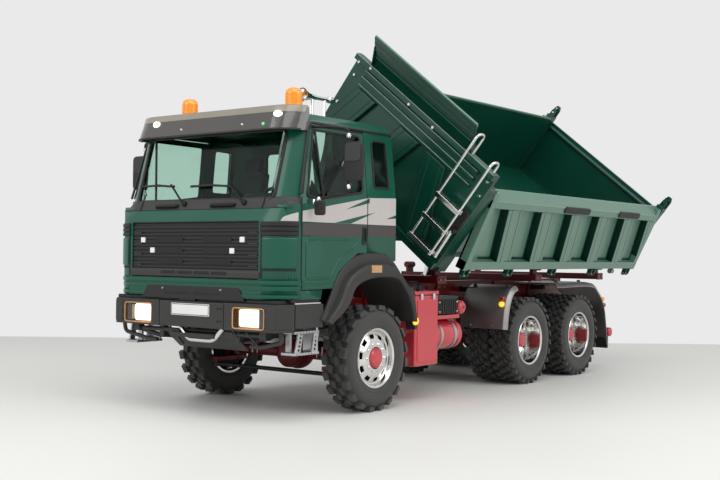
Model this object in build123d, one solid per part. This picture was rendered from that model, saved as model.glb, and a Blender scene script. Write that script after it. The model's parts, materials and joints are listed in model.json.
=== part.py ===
from build123d import *
import os
from math import atan2, cos, degrees, hypot, radians, sin, tan

# Scale model of a three-axle, three-way tipper truck, 1:14.5, all sizes in millimetres.
# Working frame: +X forward from the front axle, +Y to the driver's left, +Z up from the ground.
# The bed is stored tipped to the left, with its left side wall swung a little open.

# Wheels and axles
FIRST_WHEELBASE = 233.0
BOGIE_SPREAD = 98.0
TYRE_RADIUS = 39.0
TYRE_WIDTH = 22.0
TYRE_BORE = 21.6
BORE_SIDES = 20
LUG_COUNT = 16
LUG_HEIGHT = 3.5
LUG_TIP_SHARE = 0.23
LUG_FOOT_SHARE = 0.31
TWIN_GAP = 2.5
WHEEL_OUTER_FACE = 84.5
RIM_RADIUS = 21.5
RIM_WALL = 2.0
RIM_BEAD = 2.2
HUB_RADIUS = 9.0
FRONT_HUB_RECESS = 1.0
REAR_HUB_RECESS = 9.0
HUB_CAP = 3.0
SPINDLE_RADIUS = 5.0
RUNNING_GAP = 0.06
AXLE_TUBE_RADIUS = 6.0
DIFF_RADIUS = 13.0

# Steering
KINGPIN_Y = 56.0
KINGPIN_RADIUS = 2.5
AXLE_EYE_HEIGHT = 12.0
STEER_ARM_REACH = 24.0
STEER_LIMIT = 30.0
TIE_ROD_RADIUS = 1.6

# Ladder frame and tipper subframe
FRAME_HALF_WIDTH = 30.0
FRAME_BOTTOM = 62.0
FRAME_HEIGHT = 18.0
FRAME_FRONT = 90.0
FRAME_REAR = -396.0
RAIL_FLANGE = 7.0
RAIL_WALL = 1.6
CROSS_MEMBER = 5.0
SUBFRAME_HEIGHT = 12.0
SUBFRAME_FRONT = -52.0
CROSS_BEAM_HEIGHT = 6.0
CROSS_BEAM_LENGTH = 12.0

# Cab
CAB_FACE = 106.0
CAB_SILL = 84.0
CAB_FLOOR = 110.0
CAB_REAR = -21.0
CAB_HALF = 84.5
CAB_WALL = 2.2
CORNER_RADIUS = 20.0
GRILLE_TOP = 138.0
SCREEN_FOOT_X = 98.0
SCREEN_FOOT_Z = 148.0
SCREEN_TOP_X = 83.5
SCREEN_TOP_Z = 200.0
SCREEN_INSET = 16.5
EAVE_Z = 206.0
EAVE_INSET = 5.5
ROOF_EDGE_INSET = 14.5
ROOF_EDGE_Z = 212.0
ROOF_Z = 215.0
GLASS_THICK = 1.4
GLASS_SETBACK = 0.5
DOOR_FRONT = 87.0
DOOR_REAR = 14.0
DOOR_TOP = 203.5
DOOR_GAP = 0.6
DOOR_OPENING = 65.0
BELT_Z = 153.0
WINDOW_TOP = 200.0

# Front end
BUMPER_FACE = 107.0
BUMPER_HALF = 84.5
BUMPER_FLAT_HALF = 79.0
BUMPER_CHAMFER = 12.0
BUMPER_DEPTH = 11.0
BUMPER_BOTTOM = 62.0
BUMPER_TOP = 81.0
LAMP_INNER = 40.0
LAMP_OUTER = 68.0
LAMP_BOTTOM = 63.5
LAMP_TOP = 77.5
PLATE_HALF = 19.0
PLATE_Z = (70.0, 79.0)
PLATE_THICK = 0.8

# Bed, measured lowered and closed
TIP_ANGLE = 39.0
TIP_LIMIT = 44.5
WALL_OPEN = 12.8
WALL_OPENING_LIMIT = 60.0
TIP_PIVOT_Y = 70.0
TIP_PIVOT_Z = 105.25
TIP_PIN_RADIUS = 3.0
BED_HALF = 84.0
BED_FRONT = -68.0
BED_REAR = -420.0
BED_SILL = 122.4
FLOOR_RISE = 2.0
FLOOR_THICK = 4.0
WALL_HEIGHT = 67.8
WALL_THICK = 8.0
WALL_SKIN = 1.6
TOP_RAIL = 14.0
BOTTOM_RAIL = 7.6
RIB_PITCH = 55.3
RIB_STRIP = 12.0
RIB_STEP = 1.5
RIB_SLANT = 19.0
END_MEMBER = 7.0
HEADBOARD_HEIGHT = 83.3
HEADBOARD_THICK = 4.0
HINGE_PIN_RADIUS = 2.0
HINGE_PIN_DROP = 3.2
POST_LENGTH = 8.0
FRONT_POST_LENGTH = 12.0
GATE_PIN_DROP = 6.0
GATE_PIN_RADIUS = 1.5
PIN_REACH = 3.0
LOOSE_FIT = 0.4

# Tipping ram
RAM_X = -190.0
RAM_TRUNNION_Z = 86.0
TRUNNION_RADIUS = 2.0
RAM_HEAD_Z = 112.0
RAM_BARREL_RADIUS = 8.5
RAM_BELOW = 34.0
RAM_ABOVE = 10.0
RAM_STEP = 1.6
RAM_EYE_RADIUS = 5.8
RAM_EYE_WIDTH = 6.0
RAM_PIN_RADIUS = 1.4
RAM_PIN_DRIFT = 2.6

# Places that follow from the sizes above
SCREEN_HALF = CAB_HALF - SCREEN_INSET
EAVE_HALF = CAB_HALF - EAVE_INSET
ROOF_EDGE_HALF = CAB_HALF - ROOF_EDGE_INSET
FLOOR_TOP = BED_SILL + FLOOR_RISE
FRAME_TOP = FRAME_BOTTOM + FRAME_HEIGHT
SUBFRAME_TOP = FRAME_TOP + SUBFRAME_HEIGHT
BEAM_TOP = SUBFRAME_TOP + CROSS_BEAM_HEIGHT
AXLE_Z = TYRE_RADIUS
MID_AXLE_X = -FIRST_WHEELBASE
REAR_AXLE_X = -FIRST_WHEELBASE - BOGIE_SPREAD
BOGIE_X = (MID_AXLE_X + REAR_AXLE_X) / 2
FRONT_WHEEL_Y = WHEEL_OUTER_FACE - TYRE_WIDTH / 2
TWIN_INNER_FACE = WHEEL_OUTER_FACE - 2 * TYRE_WIDTH - TWIN_GAP
CROSS_BEAM_XS = (BED_FRONT - 30.0, BOGIE_X + 20.0, BED_REAR + 26.0)
HINGE_PIN_Z = BED_SILL + WALL_HEIGHT - HINGE_PIN_DROP
HINGE_PIN_Y = BED_HALF - WALL_THICK / 2
BED_INNER_HALF = BED_HALF - WALL_THICK - LOOSE_FIT
WALL_FRONT = BED_FRONT - HEADBOARD_THICK - FRONT_POST_LENGTH - LOOSE_FIT
WALL_REAR = BED_REAR + POST_LENGTH + LOOSE_FIT
BEARER_TOP = FLOOR_TOP - FLOOR_THICK
GATE_PIN_X = BED_REAR + 3.0
GATE_PIN_Z = HINGE_PIN_Z - GATE_PIN_DROP
GATE_TOP = HINGE_PIN_Z - 0.5
DOOR_HINGE = (DOOR_FRONT - DOOR_GAP, CAB_HALF)

nodes = {}


def block(x, y, z):
    """Box between three (low, high) spans."""
    size = [high - low for low, high in (x, y, z)]
    middle = [(high + low) / 2 for low, high in (x, y, z)]
    return Pos(*middle) * Box(*size)


def rod(axis, centre, radius, length):
    """Round bar centred at a point, along one of the axes."""
    turn = {"x": (0, 90, 0), "y": (90, 0, 0), "z": (0, 0, 0)}[axis]
    return Pos(*centre) * Rot(*turn) * Cylinder(radius, length)


def bar(start, end, radius):
    """Round bar between two points."""
    path = Line(start, end)
    return sweep(Plane(origin=start, z_dir=path % 0) * Circle(radius), path=path)


def outline(points, rounding=0.0):
    face = make_face(Polyline(*points, close=True))
    return fillet(face.vertices(), rounding) if rounding else face


def prism(along, points, span, rounding=0.0):
    """Outline drawn square to an axis: (x, z) along y, (y, z) along x, (x, y) along z."""
    low, high = span
    plane = {
        "x": Plane(origin=(low, 0, 0), x_dir=(0, 1, 0), z_dir=(1, 0, 0)),
        "y": Plane(origin=(0, high, 0), x_dir=(1, 0, 0), z_dir=(0, -1, 0)),
        "z": Plane(origin=(0, 0, low), x_dir=(1, 0, 0), z_dir=(0, 0, 1)),
    }[along]
    return extrude(plane * outline(points, rounding), amount=high - low, dir=plane.z_dir)


def sheet(along, path, thick, span):
    """Bent sheet: a path of points given a thickness and drawn out along an axis."""
    strip = offset(Polyline(*path), thick / 2, side=Side.BOTH, kind=Kind.INTERSECTION)
    low, high = span
    plane = {
        "x": Plane(origin=(low, 0, 0), x_dir=(0, 1, 0), z_dir=(1, 0, 0)),
        "y": Plane(origin=(0, high, 0), x_dir=(1, 0, 0), z_dir=(0, -1, 0)),
    }[along]
    return extrude(plane * make_face(strip), amount=high - low, dir=plane.z_dir)


def both_sides(piece):
    return piece + mirror(piece, about=Plane.XZ)


def joined(pieces):
    first, *rest = pieces
    return first + rest if rest else first


def turned(points):
    """Solid of revolution about the Y axis from (y, radius) points."""
    face = make_face(Polyline(*points, close=True))
    return revolve(Plane.YX * face, Axis.Y)


def tipped(piece, angle=TIP_ANGLE):
    """Bed pieces turned about the left tip pivot, left side down."""
    axis = Axis((0, TIP_PIVOT_Y, TIP_PIVOT_Z), (-1, 0, 0))
    return piece.rotate(axis, angle)


def swung(piece, angle=WALL_OPEN):
    """Left side wall swung outwards about its top pins."""
    axis = Axis((0, HINGE_PIN_Y, HINGE_PIN_Z), (1, 0, 0))
    return piece.rotate(axis, angle)


# Wheels
def round_point(radius, angle):
    """Place on a circle about the axle, from straight down."""
    return radius * sin(radians(angle)), -radius * cos(radians(angle))


def tread_half(span, turn):
    """Half the tyre's width: flat-tipped lugs round a many-sided bore, turned by a share of their pitch."""
    pitch = 360 / LUG_COUNT
    valley = TYRE_RADIUS - LUG_HEIGHT
    tip_angle, foot_angle = pitch * LUG_TIP_SHARE, pitch * LUG_FOOT_SHARE
    tip = TYRE_RADIUS / cos(radians(tip_angle))
    lug = ((-foot_angle, valley), (-tip_angle, tip), (tip_angle, tip), (foot_angle, valley))
    tread = []
    for index in range(LUG_COUNT):
        tread += [round_point(radius, (index + turn) * pitch + angle) for angle, radius in lug]
    step = 360 / BORE_SIDES
    bore = [round_point(TYRE_BORE / cos(radians(step / 2)), step * index) for index in range(BORE_SIDES)]
    return prism("y", tread, span) - prism("y", bore, span)


def tyre_ring(inner_face):
    """Tyre of two rows of lugs, staggered by half their pitch."""
    middle, face = inner_face + TYRE_WIDTH / 2, inner_face + TYRE_WIDTH
    return tread_half((inner_face, middle), 0.0) + tread_half((middle, face), 0.5)


def rim_band(inner_face):
    """Rim barrel with its two flanges."""
    face = inner_face + TYRE_WIDTH
    points = [
        (inner_face + RIM_BEAD, RIM_RADIUS - RIM_WALL),
        (inner_face + RIM_BEAD, RIM_RADIUS),
        (face - RIM_BEAD, RIM_RADIUS),
        (face - RIM_BEAD, RIM_RADIUS - RIM_WALL),
    ]
    return turned(points)


def rim_disc(at, thick, hub_from, hub_to):
    """Disc square to the axle and the hub barrel, bored for the spindle and closed outside."""
    bore = SPINDLE_RADIUS + RUNNING_GAP
    disc = rod("y", (0, at + thick / 2, 0), RIM_RADIUS - RIM_WALL / 2, thick)
    hub = rod("y", (0, (hub_from + hub_to) / 2, 0), HUB_RADIUS, hub_to - hub_from)
    inside = rod("y", (0, (hub_from + hub_to - HUB_CAP) / 2 - 1, 0), bore, hub_to - HUB_CAP - hub_from + 2)
    return (disc + hub) - inside


FRONT_INNER_FACE = WHEEL_OUTER_FACE - TYRE_WIDTH
OUTER_TWIN_INNER_FACE = WHEEL_OUTER_FACE - TYRE_WIDTH
FRONT_HUB_INNER = KINGPIN_Y + 11.0
FRONT_HUB_OUTER = WHEEL_OUTER_FACE - FRONT_HUB_RECESS
REAR_HUB_INNER = TWIN_INNER_FACE + 1.0
REAR_HUB_OUTER = WHEEL_OUTER_FACE - REAR_HUB_RECESS
FRONT_DISC = 3.0
FRONT_DISC_DEPTH = 6.0
SPINDLE_SHORT = HUB_CAP + 0.6
TWIN_DISC = TWIN_GAP + 2 * RIM_BEAD + 2.0

front_tyre = tyre_ring(FRONT_INNER_FACE)
front_rim = rim_band(FRONT_INNER_FACE) + rim_disc(
    WHEEL_OUTER_FACE - FRONT_DISC_DEPTH, FRONT_DISC, FRONT_HUB_INNER, FRONT_HUB_OUTER
)
twin_tyres = tyre_ring(TWIN_INNER_FACE) + tyre_ring(OUTER_TWIN_INNER_FACE)
twin_rim = joined(
    [
        rim_band(TWIN_INNER_FACE),
        rim_band(OUTER_TWIN_INNER_FACE),
        rim_disc(TWIN_INNER_FACE + TYRE_WIDTH - RIM_BEAD - 1, TWIN_DISC, REAR_HUB_INNER, REAR_HUB_OUTER),
    ]
)

# Each wheel: name, axle place, tyre, rim
WHEELS = (
    ("front", 0.0, front_tyre, front_rim),
    ("mid", MID_AXLE_X, twin_tyres, twin_rim),
    ("rear", REAR_AXLE_X, twin_tyres, twin_rim),
)
for name, axle_x, tyre, rim in WHEELS:
    place = Pos(axle_x, 0, AXLE_Z)
    for side in ("left", "right"):
        for kind, piece in (("tyre", tyre), ("rim", rim)):
            shape = piece if side == "left" else mirror(piece, about=Plane.XZ)
            nodes[f"{name}_{side}_{kind}"] = place * shape


# Steering knuckles and tie rod
EYE_GAP = 0.4
YOKE_PLATE = 3.0
YOKE_OUTER = FRONT_HUB_INNER - 0.6
YOKE_HALF_HEIGHT = AXLE_EYE_HEIGHT / 2 + EYE_GAP + YOKE_PLATE
YOKE_HALF_LENGTH = 5.0
ARM_Z = AXLE_Z - YOKE_HALF_HEIGHT + YOKE_PLATE / 2
TIE_PIN_X = STEER_ARM_REACH
TIE_PIN_Y = KINGPIN_Y
TIE_PIN_RADIUS = 1.2
TIE_EYE_RADIUS = 2.8
TIE_EYE_HEIGHT = 2 * TIE_ROD_RADIUS + 0.8
TIE_ROD_Z = ARM_Z - YOKE_PLATE / 2 - EYE_GAP - TIE_EYE_HEIGHT / 2


def knuckle():
    """Left knuckle: yoke round the axle eye, kingpin, spindle and steering arm."""
    yoke = block(
        (-YOKE_HALF_LENGTH, YOKE_HALF_LENGTH),
        (KINGPIN_Y - YOKE_HALF_LENGTH, YOKE_OUTER),
        (AXLE_Z - YOKE_HALF_HEIGHT, AXLE_Z + YOKE_HALF_HEIGHT),
    )
    eye_room = AXLE_EYE_HEIGHT / 2 + EYE_GAP
    yoke -= block(
        (-YOKE_HALF_LENGTH - 1, YOKE_HALF_LENGTH + 1),
        (KINGPIN_Y - YOKE_HALF_LENGTH - 1, KINGPIN_Y + YOKE_HALF_LENGTH + 1.5),
        (AXLE_Z - eye_room, AXLE_Z + eye_room),
    )
    pin = rod("z", (0, KINGPIN_Y, AXLE_Z), KINGPIN_RADIUS, 2 * YOKE_HALF_HEIGHT)
    spindle_end = FRONT_HUB_OUTER - SPINDLE_SHORT
    spindle = rod(
        "y", (0, (YOKE_OUTER + spindle_end) / 2 - 1, AXLE_Z), SPINDLE_RADIUS, spindle_end - YOKE_OUTER + 2
    )
    arm_end = TIE_EYE_RADIUS - 0.2
    arm = prism(
        "z",
        [
            (0, KINGPIN_Y - YOKE_HALF_LENGTH),
            (YOKE_HALF_LENGTH, KINGPIN_Y + 2),
            (TIE_PIN_X + arm_end, TIE_PIN_Y + arm_end),
            (TIE_PIN_X + arm_end, TIE_PIN_Y - arm_end),
            (TIE_PIN_X - arm_end, TIE_PIN_Y - arm_end),
        ],
        (ARM_Z - YOKE_PLATE / 2, ARM_Z + YOKE_PLATE / 2),
    )
    tie_pin_length = YOKE_PLATE / 2 + EYE_GAP + TIE_EYE_HEIGHT
    tie_pin = rod("z", (TIE_PIN_X, TIE_PIN_Y, ARM_Z - tie_pin_length / 2), TIE_PIN_RADIUS, tie_pin_length)
    return joined([yoke, pin, spindle, arm, tie_pin])


nodes["knuckle_left"] = knuckle()
nodes["knuckle_right"] = mirror(nodes["knuckle_left"], about=Plane.XZ)

tie_eyes = both_sides(rod("z", (TIE_PIN_X, TIE_PIN_Y, TIE_ROD_Z), TIE_EYE_RADIUS, TIE_EYE_HEIGHT))
tie_rod = rod("y", (TIE_PIN_X, 0, TIE_ROD_Z), TIE_ROD_RADIUS, 2 * TIE_PIN_Y) + tie_eyes
nodes["tie_rod"] = tie_rod - both_sides(
    rod("z", (TIE_PIN_X, TIE_PIN_Y, TIE_ROD_Z), TIE_PIN_RADIUS + RUNNING_GAP, 2 * TIE_EYE_HEIGHT)
)


# Axles, springs and driveline
def front_axle():
    eye = rod("z", (0, KINGPIN_Y, AXLE_Z), KINGPIN_RADIUS + 2.2, AXLE_EYE_HEIGHT)
    tube_half = KINGPIN_Y - 2.0
    tube = rod("y", (0, 0, AXLE_Z), AXLE_TUBE_RADIUS - 1.0, 2 * tube_half)
    differential = Pos(0, 8, AXLE_Z) * Sphere(DIFF_RADIUS)
    hole = rod("z", (0, KINGPIN_Y, AXLE_Z), KINGPIN_RADIUS + RUNNING_GAP, 2 * AXLE_EYE_HEIGHT)
    return joined([tube, differential, both_sides(eye)]) - both_sides(hole)


nodes["front_axle"] = front_axle()


def rear_axle(axle_x):
    spindle_end = REAR_HUB_OUTER - SPINDLE_SHORT
    shaft = rod("y", (axle_x, 0, AXLE_Z), SPINDLE_RADIUS, 2 * spindle_end)
    tube = rod("y", (axle_x, 0, AXLE_Z), AXLE_TUBE_RADIUS, 2 * (REAR_HUB_INNER - 0.5))
    differential = Pos(axle_x, 0, AXLE_Z) * Sphere(DIFF_RADIUS)
    return joined([tube, shaft, differential])


nodes["rear_axles"] = rear_axle(MID_AXLE_X) + rear_axle(REAR_AXLE_X)

SPRING_WIDTH = 6.0
SPRING_TO_TYRE = 1.4
SPRING_Y = (TWIN_INNER_FACE - SPRING_TO_TYRE - SPRING_WIDTH, TWIN_INNER_FACE - SPRING_TO_TYRE)
LEAF_THICK = 6.0
FRONT_SPRING_REACH = 46.0
front_spring_path = [
    (FRONT_SPRING_REACH, FRAME_BOTTOM - 4),
    (10, AXLE_Z + AXLE_TUBE_RADIUS + 1.5),
    (-10, AXLE_Z + AXLE_TUBE_RADIUS + 1.5),
    (-FRONT_SPRING_REACH, FRAME_BOTTOM - 4),
]
rear_spring_path = [
    (MID_AXLE_X, AXLE_Z + AXLE_TUBE_RADIUS + LEAF_THICK / 2),
    (BOGIE_X + 10, FRAME_BOTTOM - 3 - LEAF_THICK / 2),
    (BOGIE_X - 10, FRAME_BOTTOM - 3 - LEAF_THICK / 2),
    (REAR_AXLE_X, AXLE_Z + AXLE_TUBE_RADIUS + LEAF_THICK / 2),
]
front_pads = both_sides(
    joined(
        [
            block((x - 3, x + 3), (FRAME_HALF_WIDTH, SPRING_Y[1]), (FRAME_BOTTOM - 6, FRAME_BOTTOM + 6))
            for x in (-FRONT_SPRING_REACH, FRONT_SPRING_REACH)
        ]
    )
)
rear_pads = both_sides(
    block((BOGIE_X - 9, BOGIE_X + 9), (FRAME_HALF_WIDTH, SPRING_Y[1]), (FRAME_BOTTOM - 4, FRAME_BOTTOM + 12))
)
front_leaves = both_sides(sheet("y", front_spring_path, LEAF_THICK / 1.5, SPRING_Y))
rear_leaves = both_sides(sheet("y", rear_spring_path, LEAF_THICK, SPRING_Y))
axle_rods = rod("y", (0, 0, AXLE_Z), AXLE_TUBE_RADIUS - 1.0, 4 * KINGPIN_Y) + rear_axle(MID_AXLE_X)
axle_rods = axle_rods + rear_axle(REAR_AXLE_X)
nodes["leaf_springs"] = joined([front_leaves, front_pads, rear_leaves, rear_pads]) - axle_rods

TRANSFER_X = (-105.0, -75.0)
SHAFT_RADIUS = 3.0
transfer_case = block(TRANSFER_X, (-16, 16), (AXLE_Z + 2, FRAME_BOTTOM + 8))
gearbox = block((TRANSFER_X[1] + 10, -16.0), (-14, 14), (FRAME_BOTTOM - 6, FRAME_TOP))
front_shaft = bar((TRANSFER_X[1] - 1, 8, AXLE_Z + 5), (10, 8, AXLE_Z), SHAFT_RADIUS)
rear_shaft = bar((TRANSFER_X[0] + 1, 0, AXLE_Z + 5), (MID_AXLE_X + 10, 0, AXLE_Z), SHAFT_RADIUS)
bogie_shaft = bar((MID_AXLE_X - 10, 0, AXLE_Z), (REAR_AXLE_X + 10, 0, AXLE_Z), SHAFT_RADIUS)
LINK_Z = FRAME_BOTTOM - SHAFT_RADIUS - 1.0
case_link = bar((TRANSFER_X[1] - 1, 0, LINK_Z), (TRANSFER_X[1] + 11, 0, LINK_Z), SHAFT_RADIUS)
axle_cores = nodes["front_axle"] + nodes["rear_axles"]
driveline = joined([transfer_case, gearbox, case_link, front_shaft, rear_shaft]) + bogie_shaft
nodes["driveline"] = driveline - axle_cores

ENGINE_X = (-15.6, 56.0)
ENGINE_TO_RAIL = 2.0
ENGINE_HALF = FRAME_HALF_WIDTH - RAIL_FLANGE - ENGINE_TO_RAIL
engine = block(ENGINE_X, (-ENGINE_HALF, ENGINE_HALF), (FRAME_BOTTOM - 10, CAB_FLOOR - 3))
axle_room = block((-FRONT_SPRING_REACH, 20), (-ENGINE_HALF, ENGINE_HALF), (0, FRAME_BOTTOM))
nodes["engine_block"] = engine - axle_room


# Ladder frame and subframe
def ladder_frame():
    rail_span = (FRAME_HALF_WIDTH - RAIL_FLANGE, FRAME_HALF_WIDTH)
    web = block((FRAME_REAR, FRAME_FRONT), rail_span, (FRAME_BOTTOM, FRAME_TOP))
    hollow = block(
        (FRAME_REAR - 1, FRAME_FRONT + 1),
        (FRAME_HALF_WIDTH - RAIL_FLANGE - 1, FRAME_HALF_WIDTH - RAIL_WALL),
        (FRAME_BOTTOM + RAIL_WALL, FRAME_TOP - RAIL_WALL),
    )
    rails = both_sides(web - hollow)
    inner = FRAME_HALF_WIDTH - RAIL_WALL
    cross_xs = (
        FRAME_FRONT - CROSS_MEMBER,
        SUBFRAME_FRONT - 18.0,
        TRANSFER_X[0] - 35.0,
        MID_AXLE_X + 1.0,
        BOGIE_X,
        FRAME_REAR + CROSS_MEMBER,
    )
    reach = (FRAME_BOTTOM + RAIL_WALL, FRAME_TOP - RAIL_WALL)
    members = [block((x - CROSS_MEMBER / 2, x + CROSS_MEMBER / 2), (-inner, inner), reach) for x in cross_xs]
    return joined([rails, *members])


nodes["ladder_frame"] = ladder_frame()


def tipper_subframe():
    rail_span = (FRAME_HALF_WIDTH - 8, FRAME_HALF_WIDTH)
    rails = both_sides(block((FRAME_REAR, SUBFRAME_FRONT), rail_span, (FRAME_TOP, SUBFRAME_TOP)))
    pieces = [rails]
    for x in CROSS_BEAM_XS:
        span = (x - CROSS_BEAM_LENGTH / 2, x + CROSS_BEAM_LENGTH / 2)
        reach = TIP_PIVOT_Y + 5
        pieces.append(block(span, (-reach, reach), (SUBFRAME_TOP, BEAM_TOP)))
        stem = block((x - 4, x + 4), (TIP_PIVOT_Y - 1.8, TIP_PIVOT_Y + 1.8), (BEAM_TOP, TIP_PIVOT_Z))
        pin = rod("x", (x, TIP_PIVOT_Y, TIP_PIVOT_Z), TIP_PIN_RADIUS, CROSS_BEAM_LENGTH)
        pieces.append(both_sides(stem + pin))
    trunnion_seat = RAM_BARREL_RADIUS + 1.0
    for x in (RAM_X - trunnion_seat - 3.5, RAM_X + trunnion_seat + 0.5):
        cheek = block((x, x + 3.0), (-rail_span[0], rail_span[0]), (FRAME_TOP, SUBFRAME_TOP))
        pieces.append(cheek)
    holes = rod("x", (RAM_X, 0, RAM_TRUNNION_Z), TRUNNION_RADIUS + RUNNING_GAP, 40)
    return joined(pieces) - holes


nodes["tipper_subframe"] = tipper_subframe()


# Cab
def cab_form(inset):
    """Cab body shrunk by an even inset: lower block, raked upper block, cut to its front view."""
    half = CAB_HALF - inset
    rear = CAB_REAR + inset
    corner = CORNER_RADIUS - inset
    rake = (SCREEN_FOOT_X - SCREEN_TOP_X) / (SCREEN_TOP_Z - SCREEN_FOOT_Z)
    rise = ROOF_Z - SCREEN_FOOT_Z + 2
    lower_face = CAB_FACE - inset
    lower = block((rear, lower_face), (-half, half), (CAB_SILL + inset, SCREEN_FOOT_Z))
    lower = fillet(lower.edges().filter_by(Axis.Z).group_by(Axis.X)[-1], corner)
    lower &= prism(
        "y",
        [
            (rear, CAB_FLOOR + inset),
            (60 + inset, CAB_FLOOR + inset),
            (66 + inset, CAB_SILL + inset),
            (lower_face, CAB_SILL + inset),
            (lower_face, GRILLE_TOP),
            (SCREEN_FOOT_X - inset, SCREEN_FOOT_Z),
            (rear, SCREEN_FOOT_Z),
        ],
        (-half, half),
    )
    foot = SCREEN_FOOT_X - inset
    plan_rear = rear - 30
    plan = make_face(Polyline((plan_rear, -half), (foot, -half), (foot, half), (plan_rear, half), close=True))
    plan = fillet(plan.vertices().group_by(Axis.X)[-1], corner)
    raked = extrude(Plane.XY.offset(SCREEN_FOOT_Z) * plan, amount=rise, dir=(-rake, 0, 1))
    raked &= block((rear, foot), (-half, half), (SCREEN_FOOT_Z, ROOF_Z - inset))
    front_view = [
        (half, CAB_SILL),
        (half, BELT_Z),
        (EAVE_HALF - inset, EAVE_Z),
        (ROOF_EDGE_HALF - inset, ROOF_EDGE_Z - inset),
        (0, ROOF_Z - inset),
    ]
    front_view = front_view + [(-y, z) for y, z in reversed(front_view[:-1])]
    body = lower + raked
    return body & prism("x", front_view, (rear - 5, CAB_FACE + 5))


ARCH_OUTER = [(66, 70), (57, 84), (46, 102), (24, 114.5), (-8, 114.5), (-27, 101), (-43, 82), (-47, 64)]
ARCH_INNER = [(58, 66), (40, 78), (30, 92), (10, 98), (-14, 98), (-24, 94), (-36, 80), (-42, 64)]


def arch_room(grow=0.0):
    """Space of the front wheel arch in side view, down past the tyre."""
    top = [(x, z + grow) for x, z in ARCH_OUTER]
    points = [(66 + grow, 0), *[(x + (grow if x > 0 else -grow), z) for x, z in top], (-47 - grow, 0)]
    return both_sides(prism("y", points, (44, CAB_HALF + 20)))


outer_cab = cab_form(0.0)
hollow_cab = outer_cab - cab_form(CAB_WALL)
glass_skin = cab_form(GLASS_SETBACK) - cab_form(GLASS_SETBACK + GLASS_THICK)

screen_hole = prism(
    "x",
    [
        (-SCREEN_HALF, SCREEN_FOOT_Z + 1.5),
        (SCREEN_HALF, SCREEN_FOOT_Z + 1.5),
        (SCREEN_HALF, SCREEN_TOP_Z),
        (-SCREEN_HALF, SCREEN_TOP_Z),
    ],
    (60, CAB_FACE + 5),
    4.0,
)
quarter_hole = prism(
    "y",
    [
        (CAB_REAR + 8, BELT_Z + 10),
        (DOOR_REAR - 8, BELT_Z + 10),
        (DOOR_REAR - 8, WINDOW_TOP - 2),
        (CAB_REAR + 9, WINDOW_TOP - 2),
    ],
    (-CAB_HALF - 5, CAB_HALF + 5),
    3.0,
)
REAR_WINDOW_HALF = 45.0
rear_hole = prism(
    "x",
    [
        (-REAR_WINDOW_HALF, BELT_Z + 7),
        (REAR_WINDOW_HALF, BELT_Z + 7),
        (REAR_WINDOW_HALF, WINDOW_TOP - 4),
        (-REAR_WINDOW_HALF, WINDOW_TOP - 4),
    ],
    (CAB_REAR - 5, CAB_REAR + 8),
    4.0,
)


def door_outline(shrink):
    """Door opening in side view, following the wheel arch below."""
    return [
        (DOOR_FRONT - shrink, 90 + shrink),
        (DOOR_FRONT - shrink, BELT_Z),
        (DOOR_FRONT - 13 - shrink, DOOR_TOP - shrink),
        (DOOR_REAR + shrink, DOOR_TOP - shrink),
        (DOOR_REAR + shrink, 90 + shrink),
    ]


door_room = both_sides(prism("y", door_outline(0), (CAB_HALF - 16, CAB_HALF + 5)))
door_body_room = prism("y", door_outline(DOOR_GAP), (CAB_HALF - 16, CAB_HALF + 5))
door_window = prism(
    "y",
    [
        (DOOR_FRONT - 5, BELT_Z),
        (DOOR_FRONT - 16, WINDOW_TOP),
        (DOOR_REAR + 5, WINDOW_TOP),
        (DOOR_REAR + 5, BELT_Z + 6),
        (DOOR_FRONT - 26, BELT_Z),
    ],
    (CAB_HALF - 18, CAB_HALF + 6),
    2.0,
)

GRILLE_HALF = 63.0
GRILLE_BOTTOM = 97.0
GRILLE_ROW = 2.4
grille_y = (-GRILLE_HALF, GRILLE_HALF)
grille_z = (GRILLE_BOTTOM, GRILLE_TOP - 2)
grille_room = block((CAB_FACE - 8, CAB_FACE + 1), grille_y, grille_z)

roof_room = block((CAB_REAR - 5, CAB_FACE), (-CAB_HALF, CAB_HALF), (EAVE_Z, ROOF_Z + 5))
shell = hollow_cab - roof_room - screen_hole - quarter_hole - rear_hole - door_room
shell = shell - arch_room(0.5) - grille_room
nodes["cab_shell"] = shell
nodes["cab_roof"] = hollow_cab & roof_room
nodes["windscreen"] = glass_skin & screen_hole
nodes["cab_glass"] = (glass_skin & quarter_hole) + (glass_skin & rear_hole)

door_left = (hollow_cab & door_body_room) - arch_room(0.5 + DOOR_GAP)
nodes["door_left"] = door_left - door_window
nodes["door_left_glass"] = glass_skin & door_window
MIRROR_X = (58.0, 62.0)
MIRROR_Y = (CAB_HALF + 15.0, CAB_HALF + 31.0)
MIRROR_Z = (164.0, 191.0)
MIRROR_ROUNDING = 2.0
ARM_RADIUS = 0.9
mirror_head = block(MIRROR_X, MIRROR_Y, MIRROR_Z)
mirror_head = fillet(mirror_head.edges().filter_by(Axis.X), MIRROR_ROUNDING)
arm_x, arm_y = sum(MIRROR_X) / 2, MIRROR_Y[0] + 3
low_corner, high_corner = (arm_x, arm_y, MIRROR_Z[0] - 8), (arm_x, arm_y, MIRROR_Z[1] + 9)
low_foot = (DOOR_FRONT - 11, CAB_HALF - 0.4, BELT_Z - 3)
high_foot = (DOOR_FRONT - 16, EAVE_HALF + 0.4, WINDOW_TOP + 1.6)
mirror_arms = joined(
    [
        bar(low_corner, low_foot, ARM_RADIUS),
        bar(high_corner, high_foot, ARM_RADIUS),
        bar(low_corner, high_corner, ARM_RADIUS),
        Pos(*low_corner) * Sphere(ARM_RADIUS),
        Pos(*high_corner) * Sphere(ARM_RADIUS),
    ]
)
nodes["mirror_left"] = (mirror_head + mirror_arms) - nodes["door_left"] - nodes["door_left_glass"]
for name in ("door_left", "door_left_glass", "mirror_left"):
    nodes[name.replace("left", "right")] = mirror(nodes[name], about=Plane.XZ)


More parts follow.
